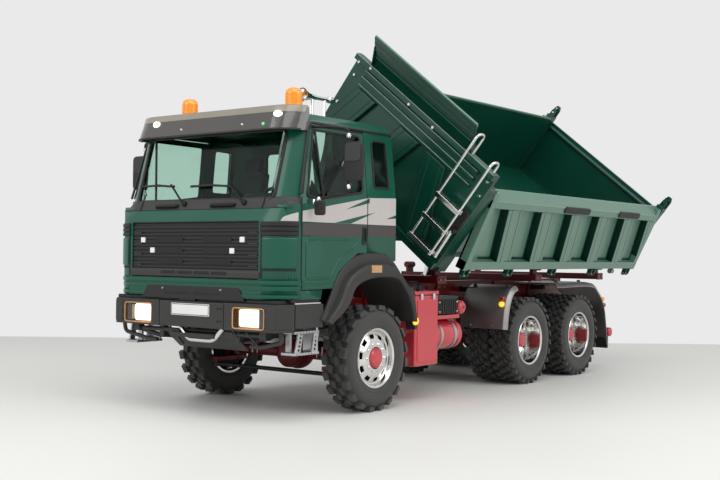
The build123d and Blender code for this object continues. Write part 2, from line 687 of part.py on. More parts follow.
def grille():
    frame_depth = 4.0
    face = CAB_FACE - 0.5
    low, high = grille_z
    pieces = [block((face - frame_depth, face - GRILLE_ROW), grille_y, grille_z)]
    slats = 5
    pitch = (high - low - GRILLE_ROW) / slats
    for row in range(slats + 1):
        z = low + row * pitch
        pieces.append(block((face - GRILLE_ROW - 0.6, face), grille_y, (z, z + GRILLE_ROW)))
    return joined(pieces)


nodes["grille"] = grille()


VISOR_Z = (198.5, 216.0)
VISOR_FOOT_X = SCREEN_TOP_X + 13.5
VISOR_TOP_X = SCREEN_TOP_X + 6.5
VISOR_REAR = SCREEN_TOP_X - 8.0
VISOR_CLEAR = 1.5
VISOR_WALL = 1.6


def sun_visor():
    low, high = VISOR_Z
    lean = (VISOR_FOOT_X - VISOR_TOP_X) / (high - low)
    plan_rear = VISOR_REAR - 34.0

    def plan(inset):
        half = EAVE_HALF + VISOR_CLEAR - inset
        front = VISOR_FOOT_X - inset
        corners = [(plan_rear, -half), (front, -half), (front, half), (plan_rear, half)]
        face = make_face(Polyline(*corners, close=True))
        return fillet(face.vertices().group_by(Axis.X)[-1], CORNER_RADIUS - inset)

    ring = plan(0) - plan(VISOR_WALL)
    band = extrude(Plane.XY.offset(low) * ring, amount=high - low, dir=(-lean, 0, 1))
    lid = extrude(Plane.XY.offset(high - VISOR_WALL) * plan(1.0), amount=VISOR_WALL, dir=(0, 0, 1))
    lid = Pos(VISOR_TOP_X - VISOR_FOOT_X, 0, 0) * lid
    kept = block((VISOR_REAR, CAB_FACE), (-CAB_HALF, CAB_HALF), VISOR_Z)
    return ((band + lid) & kept) - outer_cab


nodes["sun_visor"] = sun_visor()

BEACON_X = 60.0
BEACON_Y = 52.5
BEACON_RADIUS = 5.2
BEACON_TOP = ROOF_Z + 19.0
BEACON_ROUNDING = 3.0


def on_roof(y):
    """Height of the roof skin at a place across the cab."""
    return ROOF_Z - (ROOF_Z - ROOF_EDGE_Z) * abs(y) / ROOF_EDGE_HALF


beacon_foot = on_roof(BEACON_Y) - 1.0
beacon_middle = (beacon_foot + BEACON_TOP) / 2
beacon = rod("z", (BEACON_X, BEACON_Y, beacon_middle), BEACON_RADIUS, BEACON_TOP - beacon_foot)
beacon = fillet(beacon.edges().group_by(Axis.Z)[-1], BEACON_ROUNDING)
nodes["beacons"] = both_sides(beacon - outer_cab)

HORN_Y = 49.0
HORN_Z = ROOF_Z + 14.0
HORN_SPAN = (11.0, 47.0)
HORN_RADIUS = 1.4
HORN_BELL_RADIUS = 5.0
HORN_BELL_LENGTH = 12.0
HORN_FEET_X = (22.0, 36.0)
horn_tube = rod("x", (sum(HORN_SPAN) / 2, HORN_Y, HORN_Z), HORN_RADIUS, HORN_SPAN[1] - HORN_SPAN[0])
bell_place = Pos(HORN_SPAN[1] - HORN_BELL_LENGTH / 2, HORN_Y, HORN_Z)
horn_bell = bell_place * Rot(0, 90, 0) * Cone(HORN_RADIUS, HORN_BELL_RADIUS, HORN_BELL_LENGTH)
foot_length = HORN_Z - on_roof(HORN_Y) + 2.0
horn_feet = joined([rod("z", (x, HORN_Y, HORN_Z - foot_length / 2), 1.2, foot_length) for x in HORN_FEET_X])
nodes["air_horn"] = (horn_tube + horn_bell + horn_feet) - outer_cab

SEAT_TOP = CAB_FLOOR + CAB_WALL + 30
seat_base = block((6, 40), (22, 58), (CAB_FLOOR + CAB_WALL, SEAT_TOP))
seat_back = prism("y", [(6, SEAT_TOP), (16, SEAT_TOP), (6, SEAT_TOP + 46), (-2, SEAT_TOP + 46)], (23, 57))
nodes["seats"] = both_sides(seat_base + seat_back) - arch_room(0.5)

DASH_TOP = SCREEN_FOOT_Z + 3
dash = prism(
    "y",
    [
        (72, 118),
        (94, 118),
        (94, GRILLE_TOP),
        (CAB_FACE, GRILLE_TOP),
        (CAB_FACE, DASH_TOP),
        (76, DASH_TOP),
        (70, 136),
    ],
    (-64, 64),
)
column = bar((72, 40, 138), (57, 40, 153), 2.0)
wheel_plane = Plane(origin=(57, 40, 153), z_dir=(-0.6, 0, 0.8))
steering_wheel = wheel_plane * Torus(12.5, 1.2) + wheel_plane * Box(24.5, 2.4, 1.6)
dash_legs = both_sides(block((72, 78), (56, 60), (CAB_FLOOR + CAB_WALL - 24, 120)))
nodes["dashboard"] = (dash + column + steering_wheel + dash_legs) & cab_form(CAB_WALL)


# Front end
def bumper():
    back = BUMPER_FACE - BUMPER_DEPTH
    points = [
        (back - 22, BUMPER_HALF),
        (BUMPER_FACE - BUMPER_CHAMFER, BUMPER_HALF),
        (BUMPER_FACE, BUMPER_FLAT_HALF),
    ]
    inner = [(back, BUMPER_FLAT_HALF - 3), (back - 6, BUMPER_HALF - 3), (back - 22, BUMPER_HALF - 3)]
    half_plan = points + [(BUMPER_FACE, -1), (back, -1)] + inner
    beam = both_sides(prism("z", half_plan, (BUMPER_BOTTOM, BUMPER_TOP)))
    pockets = both_sides(
        block((BUMPER_FACE - 7, BUMPER_FACE + 1), (LAMP_INNER, LAMP_OUTER), (LAMP_BOTTOM, LAMP_TOP))
    )
    bracket_y = (FRAME_HALF_WIDTH, FRAME_HALF_WIDTH + 4)
    brackets = both_sides(block((FRAME_FRONT - 12, back + 0.5), bracket_y, (FRAME_BOTTOM + 2, FRAME_TOP - 2)))
    plate = block((BUMPER_FACE - 0.5, BUMPER_FACE + PLATE_THICK), (-PLATE_HALF, PLATE_HALF), PLATE_Z)
    return (beam - pockets) + brackets + plate


nodes["front_bumper"] = bumper()
headlamps = both_sides(
    block((BUMPER_FACE - 7, BUMPER_FACE + 0.6), (LAMP_INNER, LAMP_OUTER), (LAMP_BOTTOM, LAMP_TOP))
)
nodes["headlamps"] = headlamps

GUARD_LOW = 47.0
GUARD_FRONT = 100.0
GUARD_TUBE = 1.6
GUARD_HALF = 65.0
GUARD_LOW_HALF = 48.0


def front_guard():
    upper_x, upper_z = GUARD_FRONT - 2, BUMPER_BOTTOM - 3
    lower_x, lower_z = GUARD_FRONT - 8, GUARD_LOW + 7
    skid = sheet("y", [(GUARD_FRONT, BUMPER_BOTTOM - 2), (GUARD_FRONT - 16, GUARD_LOW)], 1.6, (-34, 34))
    hangers = both_sides(block((GUARD_FRONT - 6, GUARD_FRONT - 1), (36, 40), (GUARD_LOW + 6, BUMPER_BOTTOM)))
    tubes = [
        rod("y", (upper_x, 0, upper_z), GUARD_TUBE, 2 * GUARD_HALF),
        rod("y", (lower_x, 0, lower_z), GUARD_TUBE, 2 * GUARD_LOW_HALF),
    ]
    slants = both_sides(bar((upper_x, GUARD_HALF, upper_z), (lower_x, GUARD_LOW_HALF, lower_z), GUARD_TUBE))
    tow_bow = block((upper_x, GUARD_FRONT + 4), (-20, 20), (BUMPER_BOTTOM - 7, BUMPER_BOTTOM - 4))
    tow_bow -= block((GUARD_FRONT, GUARD_FRONT + 1.5), (-17, 17), (BUMPER_BOTTOM - 8, BUMPER_BOTTOM))
    drop_y = (GUARD_HALF - 5, GUARD_HALF + 1)
    drops = both_sides(block((GUARD_FRONT - 4, GUARD_FRONT + 1), drop_y, (BUMPER_BOTTOM - 5, BUMPER_BOTTOM)))
    return joined([skid, hangers, *tubes, slants, tow_bow, drops])


nodes["front_guard"] = front_guard()

STEP_SPAN = (66.0, 90.0)
STEP_INNER = 72.0
STEP_OUTER = BUMPER_HALF - 0.5
STEP_RISE = 11.0
STEP_BAR = 2.0
step_frames = []
for tread_z in (GUARD_LOW, GUARD_LOW + STEP_RISE):
    step_frames.append(block(STEP_SPAN, (STEP_INNER, STEP_OUTER), (tread_z, tread_z + STEP_BAR)))
for x in (STEP_SPAN[0], STEP_SPAN[1] - STEP_BAR):
    span = (x, x + STEP_BAR)
    step_frames.append(block(span, (STEP_OUTER - STEP_BAR, STEP_OUTER), (GUARD_LOW, BUMPER_BOTTOM)))
    step_frames.append(block(span, (STEP_INNER, STEP_INNER + STEP_BAR), (GUARD_LOW, BUMPER_BOTTOM + 6)))
hanger_y = (FRAME_HALF_WIDTH, STEP_INNER + STEP_BAR)
step_hanger = block(STEP_SPAN, hanger_y, (BUMPER_BOTTOM + 2, BUMPER_BOTTOM + 6))
nodes["cab_steps"] = both_sides(joined([*step_frames, step_hanger]) - bumper())

ARCH_FLANGE_SHARE = 0.42
ARCH_ROOT = CAB_HALF - 1.5
ARCH_FLANGE_FACE = CAB_HALF + 1.4
ARCH_BULGE_FACE = CAB_HALF + 4.6
ARCH_LINER = 2.0
ARCH_LINER_INNER = 46.0
arch_step = [
    (x1 + (x2 - x1) * ARCH_FLANGE_SHARE, z1 + (z2 - z1) * ARCH_FLANGE_SHARE)
    for (x1, z1), (x2, z2) in zip(ARCH_OUTER, ARCH_INNER)
]
arch_flange = prism("y", [*ARCH_OUTER, *reversed(arch_step)], (ARCH_ROOT, ARCH_FLANGE_FACE))
arch_bulge = prism("y", [*arch_step, *reversed(ARCH_INNER)], (ARCH_ROOT, ARCH_BULGE_FACE))
arch_liner = sheet("y", ARCH_INNER, ARCH_LINER, (ARCH_LINER_INNER, CAB_HALF))
arch_ring = joined([arch_flange, arch_bulge, arch_liner])
arch_brackets = joined(
    [
        block((-43, -40), (FRAME_HALF_WIDTH, 48), (65, 70)),
        block((52, 57), (FRAME_HALF_WIDTH, 48), (66, 70)),
    ]
)
nodes["front_mudguards"] = both_sides(arch_ring + arch_brackets)


# Equipment along the frame
BOX_X = (-87.0, -54.0)
BOX_Y = (FRAME_HALF_WIDTH, 80.0)
box_points = [(BOX_Y[0], 52), (56, 28), (BOX_Y[1], 28), (BOX_Y[1], 86), (BOX_Y[0], 86)]
nodes["side_box"] = prism("x", box_points, BOX_X)
BATTERY_X = (-118.0, -88.0)
nodes["battery_box"] = block(BATTERY_X, (FRAME_HALF_WIDTH, 78), (67, 81))
TANK_RADIUS = 12.0
LOW_TANK_Z = 50.0
LOW_TANK_Y = 66.0
HIGH_TANK_X = -124.5
low_tank = rod("x", (-107, LOW_TANK_Y, LOW_TANK_Z), TANK_RADIUS, 38)
high_tank = rod("y", (HIGH_TANK_X, (FRAME_HALF_WIDTH + 78) / 2, 72), 5.5, 78 - FRAME_HALF_WIDTH)
tank_straps = [
    block((x - 1.5, x + 1.5), (FRAME_HALF_WIDTH, LOW_TANK_Y), (LOW_TANK_Z + TANK_RADIUS - 2, 66.6))
    for x in (-96.0, -116.0)
]
nodes["air_tanks"] = joined([low_tank, *tank_straps]) + high_tank
fuel_tank = block((-124, -54), (-78, -36), (34, 74))
fuel_tank = fillet(fuel_tank.edges().filter_by(Axis.X), 5.0)
fuel_brackets = joined(
    [block((x - 2, x + 2), (-37, -FRAME_HALF_WIDTH), (64, 72)) for x in (-112.0, -66.0)]
)
nodes["fuel_tank"] = fuel_tank + fuel_brackets

GUARD_Y = (TWIN_INNER_FACE + 1, CAB_HALF + 1)
GUARD_SHEET = 1.4
mid_guard_path = [(-129, 52), (-133, 78), (-157, 89.2), (-206, 89.2)]
rear_guard_path = [(-281, 89.2), (-355, 89.2), (-388, 66), (-396, 26)]
guard_sheets = [sheet("y", path, GUARD_SHEET, GUARD_Y) for path in (mid_guard_path, rear_guard_path)]
guard_arms = [
    block((x - 2, x + 2), (FRAME_HALF_WIDTH, GUARD_Y[0] + 6), (84, 88.5)) for x in (-180.0, -330.0)
]
nodes["rear_mudguards"] = both_sides(joined([*guard_sheets, *guard_arms]))

UNDERRUN_X = FRAME_REAR - 8.0
UNDERRUN_Z = 38.0
UNDERRUN_RADIUS = 4.5
UNDERRUN_HALF = 82.0
TAIL_HALF = 60.0
TAIL_Z = (FRAME_BOTTOM, FRAME_BOTTOM + 8)
COUPLING_BORE = 1.75
COUPLING_X = UNDERRUN_X - 8.0
JAW_PLATE = 5.0
JAW_BOTTOM = FRAME_BOTTOM + 6.0
JAW_TOP = FRAME_TOP - 6.0
tow_block = block((COUPLING_X - 4, FRAME_REAR), (-9, 9), (JAW_BOTTOM - JAW_PLATE, JAW_TOP + JAW_PLATE))
tow_jaw = block((COUPLING_X - 5, COUPLING_X + 4), (-10, 10), (JAW_BOTTOM, JAW_TOP))
tow_hole = rod("z", (COUPLING_X, 0, (JAW_BOTTOM + JAW_TOP) / 2), COUPLING_BORE, 40)
underrun = rod("y", (UNDERRUN_X, 0, UNDERRUN_Z), UNDERRUN_RADIUS, 2 * UNDERRUN_HALF)
hanger_y = (FRAME_HALF_WIDTH - 6, FRAME_HALF_WIDTH - 2)
hangers = both_sides(block((UNDERRUN_X - 2, FRAME_REAR + 6), hanger_y, (UNDERRUN_Z, FRAME_BOTTOM)))
tail_bar = block((FRAME_REAR - 3, FRAME_REAR), (-TAIL_HALF, TAIL_HALF), TAIL_Z)
nodes["rear_underrun"] = joined([tow_block, underrun, hangers, tail_bar]) - tow_jaw - tow_hole

TAIL_LAMP_WIDTH = 20.0
tail_lamp_y = (TAIL_HALF - TAIL_LAMP_WIDTH, TAIL_HALF)
nodes["tail_lamps"] = both_sides(block((FRAME_REAR - 7, FRAME_REAR - 3), tail_lamp_y, TAIL_Z))


# Bed, drawn lowered and closed, then tipped
def pin_hole(face):
    """Hole for a wall's hinge pin, in a post's face."""
    return rod("x", (face, HINGE_PIN_Y, HINGE_PIN_Z), HINGE_PIN_RADIUS + RUNNING_GAP, 2 * PIN_REACH + 2)


def bed_floor():
    plate = block(
        (BED_REAR, BED_FRONT - HEADBOARD_THICK), (-BED_INNER_HALF, BED_INNER_HALF), (BEARER_TOP, FLOOR_TOP)
    )
    bearers = both_sides(block((BED_REAR + 4, BED_FRONT - 8), (20, 28), (BEAM_TOP + LOOSE_FIT, BEARER_TOP)))
    pieces = [plate, bearers]
    saddle_half = 6.0
    for x in CROSS_BEAM_XS:
        span = (x - CROSS_BEAM_LENGTH / 2, x + CROSS_BEAM_LENGTH / 2)
        pieces.append(block(span, (-BED_INNER_HALF, BED_INNER_HALF), (BEARER_TOP - 5, BEARER_TOP)))
        saddle_y = (TIP_PIVOT_Y - saddle_half, TIP_PIVOT_Y + saddle_half)
        saddle = block(span, saddle_y, (TIP_PIVOT_Z, BEARER_TOP))
        pin_room = TIP_PIN_RADIUS + LOOSE_FIT / 2
        saddle -= rod("x", (x, TIP_PIVOT_Y, TIP_PIVOT_Z), pin_room, 3 * CROSS_BEAM_LENGTH)
        pieces.append(both_sides(saddle))
    cheek_inner = RAM_EYE_WIDTH / 2 + LOOSE_FIT
    for side in (-1, 1):
        ends = sorted((RAM_X + side * cheek_inner, RAM_X + side * (cheek_inner + 3)))
        pieces.append(block(ends, (-RAM_EYE_RADIUS, RAM_EYE_RADIUS), (RAM_HEAD_Z - 3, BEARER_TOP)))
    pieces.append(rod("x", (RAM_X, 0, RAM_HEAD_Z), RAM_PIN_RADIUS, 2 * cheek_inner + 6))
    posts = both_sides(
        block(
            (BED_REAR, BED_REAR + POST_LENGTH),
            (BED_HALF - WALL_THICK, BED_HALF),
            (BED_SILL - 6, BED_SILL + WALL_HEIGHT + 2),
        )
    )
    post_face = BED_REAR + POST_LENGTH
    post_feet = both_sides(
        block((BED_REAR, post_face), (BED_INNER_HALF - 6, BED_HALF), (BED_SILL - 6, BEARER_TOP))
    )
    bed = joined([*pieces, posts, post_feet])
    wall_holes = pin_hole(post_face)
    gate_place = (GATE_PIN_X, BED_HALF - WALL_THICK, GATE_PIN_Z)
    gate_holes = rod("y", gate_place, GATE_PIN_RADIUS + RUNNING_GAP, 5)
    return bed - both_sides(wall_holes) - both_sides(gate_holes)


HEADBOARD_TOP = BED_SILL + HEADBOARD_HEIGHT
HEADBOARD_RAIL = 5.0
HEADBOARD_FOOT = 8.0
BOARD_RIB_WIDTH = 23.0
BOARD_RIB_DEPTH = 3.0
BOARD_RIB_FIRST = -66.5
# Slant of each headboard rib, in degrees from upright, from right to left
BOARD_RIB_SLANTS = (20.0, 20.0, -20.0)
SPILL_REACH = 16.0
SPILL_RISE = 24.0
SPILL_SPAN = (-69.0, 53.5)
SPILL_SHEET = 1.8


def board_rib(middle, slant):
    """Slanted flat rib between the headboard's foot and rail."""
    low, high = BED_SILL - 2, HEADBOARD_TOP - HEADBOARD_RAIL
    lean = tan(radians(slant)) * (high - low) / 2
    half = BOARD_RIB_WIDTH / 2
    corners = [
        (middle - lean - half, low),
        (middle - lean + half, low),
        (middle + lean + half, high),
        (middle + lean - half, high),
    ]
    return prism("x", corners, (BED_FRONT, BED_FRONT + BOARD_RIB_DEPTH))


def bed_headboard():
    back = BED_FRONT - HEADBOARD_THICK
    full = (-BED_HALF, BED_HALF)
    plate = block((back, BED_FRONT), full, (BED_SILL - HEADBOARD_FOOT, HEADBOARD_TOP))
    rail = block((back - 1, BED_FRONT + 5), full, (HEADBOARD_TOP - HEADBOARD_RAIL, HEADBOARD_TOP))
    foot = block((back, BED_FRONT + 4), full, (BED_SILL - HEADBOARD_FOOT, BED_SILL - 2))
    ribs = [
        board_rib(BOARD_RIB_FIRST + index * RIB_PITCH, slant) for index, slant in enumerate(BOARD_RIB_SLANTS)
    ]
    spill_path = [
        (back + 2, HEADBOARD_TOP - 1),
        (back + 3, HEADBOARD_TOP + 4),
        (BED_FRONT + SPILL_REACH, HEADBOARD_TOP + SPILL_RISE),
    ]
    spill = sheet("y", spill_path, SPILL_SHEET, SPILL_SPAN)
    hole_face = back - FRONT_POST_LENGTH
    posts = both_sides(
        block(
            (hole_face, back),
            (BED_HALF - WALL_THICK, BED_HALF),
            (BED_SILL - 6, BED_SILL + WALL_HEIGHT + 2),
        )
    )
    board = joined([plate, rail, foot, *ribs, spill, posts])
    return board - both_sides(pin_hole(hole_face))


LADDER_FIRST = BED_SILL + 7.0
LADDER_PITCH = 19.5
LADDER_TREADS = 3
LADDER_RADIUS = 1.3
LADDER_TREAD_HALF = 3.5
# Each ladder rail: place across the bed, height of its hand hoop over the headboard
LADDER_RAILS = ((57.0, 18.0), (80.5, 9.0))


def bed_ladder():
    """Climbing ladder on the headboard's left, with hand hoops over the top rail."""
    far = BED_FRONT + 12.0
    foot_z = BED_SILL + 4
    pieces = []
    for y, hoop in LADDER_RAILS:
        top = HEADBOARD_TOP + hoop
        corners = [(far, y, top), (BED_FRONT + 2, y, top)]
        pieces.append(bar((far, y, foot_z), corners[0], LADDER_RADIUS))
        pieces.append(bar(*corners, LADDER_RADIUS))
        pieces.append(bar(corners[1], (BED_FRONT + 2, y, HEADBOARD_TOP - 1), LADDER_RADIUS))
        pieces += [Pos(*corner) * Sphere(LADDER_RADIUS) for corner in corners]
        pieces.append(rod("x", ((BED_FRONT + far) / 2, y, foot_z + 2), 1.1, far - BED_FRONT))
    tread_y = (LADDER_RAILS[0][0], LADDER_RAILS[1][0])
    for row in range(LADDER_TREADS):
        z = LADDER_FIRST + LADDER_PITCH * row
        pieces.append(block((far - LADDER_TREAD_HALF, far + LADDER_TREAD_HALF), tread_y, (z - 1, z + 1)))
    return joined(pieces)


def side_wall():
    """Left drop wall: skin, rails, end members, slanted two-step ribs and hinge pins."""
    inner = BED_HALF - WALL_THICK
    top_z = BED_SILL + WALL_HEIGHT
    panel_low, panel_high = BED_SILL + BOTTOM_RAIL, top_z - TOP_RAIL
    full = (WALL_REAR, WALL_FRONT)
    pieces = [
        block(full, (inner, inner + WALL_SKIN), (BED_SILL, top_z)),
        block(full, (inner, BED_HALF), (panel_high, top_z)),
        block(full, (inner, BED_HALF), (BED_SILL, panel_low)),
        block((WALL_REAR, WALL_REAR + END_MEMBER), (inner, BED_HALF), (BED_SILL, top_z)),
        block((WALL_FRONT - END_MEMBER, WALL_FRONT), (inner, BED_HALF), (BED_SILL, top_z)),
    ]
    shift = tan(radians(RIB_SLANT)) * (panel_high - panel_low)
    rib_space = RIB_PITCH - 2 * RIB_STRIP
    rib_count = int((WALL_FRONT - WALL_REAR - END_MEMBER) / RIB_PITCH)
    # Each strip of a rib: place behind the rib's front edge, depth below the rails
    strips = ((0.0, 0.0), (RIB_STRIP, RIB_STEP))
    for index in range(rib_count):
        edge = WALL_FRONT - END_MEMBER - index * RIB_PITCH - rib_space + shift / 2
        for behind, depth in strips:
            high_x, low_x = edge - behind, edge - behind - shift
            corners = [
                (high_x, panel_high),
                (high_x - RIB_STRIP, panel_high),
                (low_x - RIB_STRIP, panel_low),
                (low_x, panel_low),
            ]
            rib = prism("y", corners, (inner, BED_HALF - depth))
            pieces.append(rib & block(full, (inner, BED_HALF), (panel_low, panel_high)))
    for x in full:
        pieces.append(rod("x", (x, HINGE_PIN_Y, HINGE_PIN_Z), HINGE_PIN_RADIUS, 2 * PIN_REACH))
    return joined(pieces)


def tailgate():
    half = BED_INNER_HALF - LOOSE_FIT
    skin = block((BED_REAR + 0.4, BED_REAR + 3.4), (-half, half), (FLOOR_TOP + LOOSE_FIT, GATE_TOP))
    pins = both_sides(rod("y", (GATE_PIN_X, half, GATE_PIN_Z), GATE_PIN_RADIUS, 4.0))
    barrel = rod("y", (GATE_PIN_X, 0, GATE_PIN_Z), GATE_PIN_RADIUS + 1.1, 2 * half)
    return joined([skin, barrel, pins])


nodes["bed_floor"] = tipped(bed_floor())
nodes["bed_headboard"] = tipped(bed_headboard())
nodes["bed_ladder"] = tipped(bed_ladder() - bed_headboard())
wall = side_wall()
nodes["wall_left"] = tipped(swung(wall))
nodes["wall_right"] = tipped(mirror(wall, about=Plane.XZ))
nodes["tailgate"] = tipped(tailgate())


# Tipping ram, drawn upright and then leaned to the tipped bed
def bed_point(y, z, angle):
    """Place of a bed point, given lowered, after tipping by an angle."""
    turn = radians(angle)
    dy, dz = y - TIP_PIVOT_Y, z - TIP_PIVOT_Z
    return TIP_PIVOT_Y + dy * cos(turn) + dz * sin(turn), TIP_PIVOT_Z - dy * sin(turn) + dz * cos(turn)


head_y, head_z = bed_point(0.0, RAM_HEAD_Z, TIP_ANGLE)
RAM_LENGTH = hypot(head_y, head_z - RAM_TRUNNION_Z)
RAM_LEAN = degrees(atan2(head_y, head_z - RAM_TRUNNION_Z))
RAM_CLOSED = RAM_HEAD_Z - RAM_TRUNNION_Z
RAM_STROKE = RAM_LENGTH - RAM_CLOSED


def leaned(piece):
    axis = Axis((RAM_X, 0, RAM_TRUNNION_Z), (-1, 0, 0))
    return piece.rotate(axis, RAM_LEAN)


def ram_tube(radius, low, high, bore):
    middle = RAM_TRUNNION_Z + (low + high) / 2
    tube = rod("z", (RAM_X, 0, middle), radius, high - low)
    if bore:
        tube -= rod("z", (RAM_X, 0, middle + 2), bore, high - low)
    return tube


stage_radii = [RAM_BARREL_RADIUS - RAM_STEP * step for step in range(3)]
STAGE_LENGTH = RAM_BELOW + RAM_ABOVE - 4
STAGE_GAP = 0.15
barrel = ram_tube(stage_radii[0], -RAM_BELOW, RAM_ABOVE, stage_radii[1] + STAGE_GAP)
trunnion_end = RAM_BARREL_RADIUS + 4.0
trunnion_middle = (RAM_BARREL_RADIUS + trunnion_end) / 2
trunnion_length = trunnion_end - RAM_BARREL_RADIUS + 2
trunnions = joined(
    [
        rod("x", (RAM_X + side * trunnion_middle, 0, RAM_TRUNNION_Z), TRUNNION_RADIUS, trunnion_length)
        for side in (-1, 1)
    ]
)
bore_floor, bore_top = RAM_TRUNNION_Z - RAM_BELOW + 2, RAM_TRUNNION_Z + RAM_ABOVE + 2
bore_middle = (bore_floor + bore_top) / 2
ram_bore = rod("z", (RAM_X, 0, bore_middle), stage_radii[1] + STAGE_GAP, bore_top - bore_floor)
nodes["ram_barrel"] = leaned((barrel + trunnions) - ram_bore)
first_top = RAM_ABOVE + 2 + RAM_STROKE / 2
stage_bore = stage_radii[2] + STAGE_GAP
nodes["ram_stage"] = leaned(ram_tube(stage_radii[1], first_top - STAGE_LENGTH, first_top, stage_bore))
rod_top = RAM_LENGTH
rod_foot = first_top + 2 + RAM_STROKE / 2 - STAGE_LENGTH
ram_rod = ram_tube(stage_radii[2], rod_foot, rod_top - RAM_EYE_RADIUS, 0.0)
eye_place = (RAM_X, 0, RAM_TRUNNION_Z + rod_top)
ram_neck = block(
    (RAM_X - RAM_EYE_WIDTH / 2, RAM_X + RAM_EYE_WIDTH / 2),
    (-3, 3),
    (RAM_TRUNNION_Z + rod_top - RAM_EYE_RADIUS - 2, RAM_TRUNNION_Z + rod_top - 2),
)
ram_eye = rod("x", eye_place, RAM_EYE_RADIUS, RAM_EYE_WIDTH) + ram_neck
ram_eye -= rod("x", eye_place, RAM_PIN_RADIUS + RAM_PIN_DRIFT, 2 * RAM_EYE_WIDTH)
nodes["ram_rod"] = leaned(ram_rod + ram_eye)


# The origin is put under the middle of the whole part
whole = Compound(children=[Compound(piece.solids()) for piece in nodes.values()]).bounding_box()
to_origin = Pos(-(whole.min.X + whole.max.X) / 2, -(whole.min.Y + whole.max.Y) / 2, -whole.min.Z)

if __name__ == "__main__":
    os.makedirs("parts", exist_ok=True)
    for name, piece in nodes.items():
        export_step(Compound((to_origin * piece).solids()), f"parts/{name}.step")
    print("nodes", len(nodes), "size", whole.size)
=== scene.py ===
# Looks of a scale model three-way tipper truck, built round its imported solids.
import json
from math import cos, pi, radians, sin, tan, tau
import bmesh
import bpy
from mathutils import Matrix, Vector

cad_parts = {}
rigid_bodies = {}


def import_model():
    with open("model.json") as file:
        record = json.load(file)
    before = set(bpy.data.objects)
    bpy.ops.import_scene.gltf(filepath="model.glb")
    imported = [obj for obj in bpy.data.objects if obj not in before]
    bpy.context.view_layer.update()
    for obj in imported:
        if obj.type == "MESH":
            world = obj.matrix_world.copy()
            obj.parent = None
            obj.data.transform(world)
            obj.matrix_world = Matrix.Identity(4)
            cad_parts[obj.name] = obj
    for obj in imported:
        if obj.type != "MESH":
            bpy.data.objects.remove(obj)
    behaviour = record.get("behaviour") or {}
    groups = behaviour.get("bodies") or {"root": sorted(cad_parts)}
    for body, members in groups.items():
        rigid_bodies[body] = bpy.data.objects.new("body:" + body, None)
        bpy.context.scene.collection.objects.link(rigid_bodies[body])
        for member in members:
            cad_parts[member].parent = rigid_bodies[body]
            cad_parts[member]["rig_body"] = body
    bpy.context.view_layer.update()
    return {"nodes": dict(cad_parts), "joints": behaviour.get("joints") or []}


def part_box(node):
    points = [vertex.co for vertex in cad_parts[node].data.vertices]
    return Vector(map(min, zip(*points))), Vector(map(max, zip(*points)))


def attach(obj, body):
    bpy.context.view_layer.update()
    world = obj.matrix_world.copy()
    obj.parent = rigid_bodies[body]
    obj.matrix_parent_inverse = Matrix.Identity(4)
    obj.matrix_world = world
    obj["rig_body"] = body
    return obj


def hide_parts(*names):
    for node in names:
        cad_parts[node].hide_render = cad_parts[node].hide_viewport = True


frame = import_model()

# Places: millimetres from the front axle's middle on the ground, +X forward, +Y to the driver's left
MM = 0.001
axle_low, axle_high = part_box("front_axle")
axle_middle = (axle_low + axle_high) / 2
CHASSIS = Matrix.Translation((axle_middle.x, axle_middle.y, 0)) @ Matrix.Scale(MM, 4)
joints = {joint["name"]: joint for joint in frame["joints"]}
TIP_ANGLE = radians(39.0)
WALL_OPEN = radians(12.8)


def about(joint, angle):
    """Turn round a joint's axis in the row frame."""
    place = Vector(joints[joint]["pos_m"])
    turn = Matrix.Rotation(angle, 4, Vector(joints[joint]["axis"]))
    return Matrix.Translation(place) @ turn @ Matrix.Translation(-place)


# Bed pieces are drawn lowered and closed, in the same millimetres
BED = about("bed_tip", TIP_ANGLE) @ CHASSIS
LEFT_WALL = about("left_wall_swing", WALL_OPEN) @ BED

# Sizes shared by several pieces, in millimetres
AXLE_Z = 39.0
AXLE_XS = {"front": 0.0, "mid": -233.0, "rear": -331.0}
SIDES = {"left": 1, "right": -1}
WHEEL_FACE = 84.5
TYRE_WIDTH = 22.0
TWIN_GAP = 2.5
CAB_SIDE = 84.5
CAB_FACE = 106.0
CAB_REAR = -21.0
CAB_CORNER = 20.0
BED_HALF = 84.0
BED_SILL = 122.4
BED_FRONT = -68.0
BED_REAR = -420.0
HEADBOARD_TOP = 205.7
WALL_FRONT, WALL_REAR = -84.4, -411.6
WALL_TOP = 190.2
WALL_THICK = 8.0


# Shapes: a list of points and a list of faces, in millimetres
def merged(*shapes):
    points, faces = [], []
    for shape_points, shape_faces in shapes:
        start = len(points)
        points += shape_points
        faces += [[start + index for index in face] for face in shape_faces]
    return points, faces


def placed(shape, matrix):
    points, faces = shape
    return [matrix @ Vector(point) for point in points], faces


def mirrored(shape):
    points, faces = shape
    return [Vector((p[0], -p[1], p[2])) for p in points], [list(reversed(face)) for face in faces]


def both(shape):
    return merged(shape, mirrored(shape))


def prism(axis, outline, span):
    """Outline drawn square to an axis: (y, z) along x, (x, z) along y, (x, y) along z."""
    def point(a, b, along):
        return Vector({"x": (along, a, b), "y": (a, along, b), "z": (a, b, along)}[axis])

    count = len(outline)
    points = [point(a, b, along) for along in span for a, b in outline]
    faces = [list(range(count)), list(reversed(range(count, 2 * count)))]
    for index in range(count):
        after = (index + 1) % count
        faces.append([index, after, count + after, count + index])
    return points, faces


def box(x, y, z):
    return prism("z", [(x[0], y[0]), (x[1], y[0]), (x[1], y[1]), (x[0], y[1])], z)


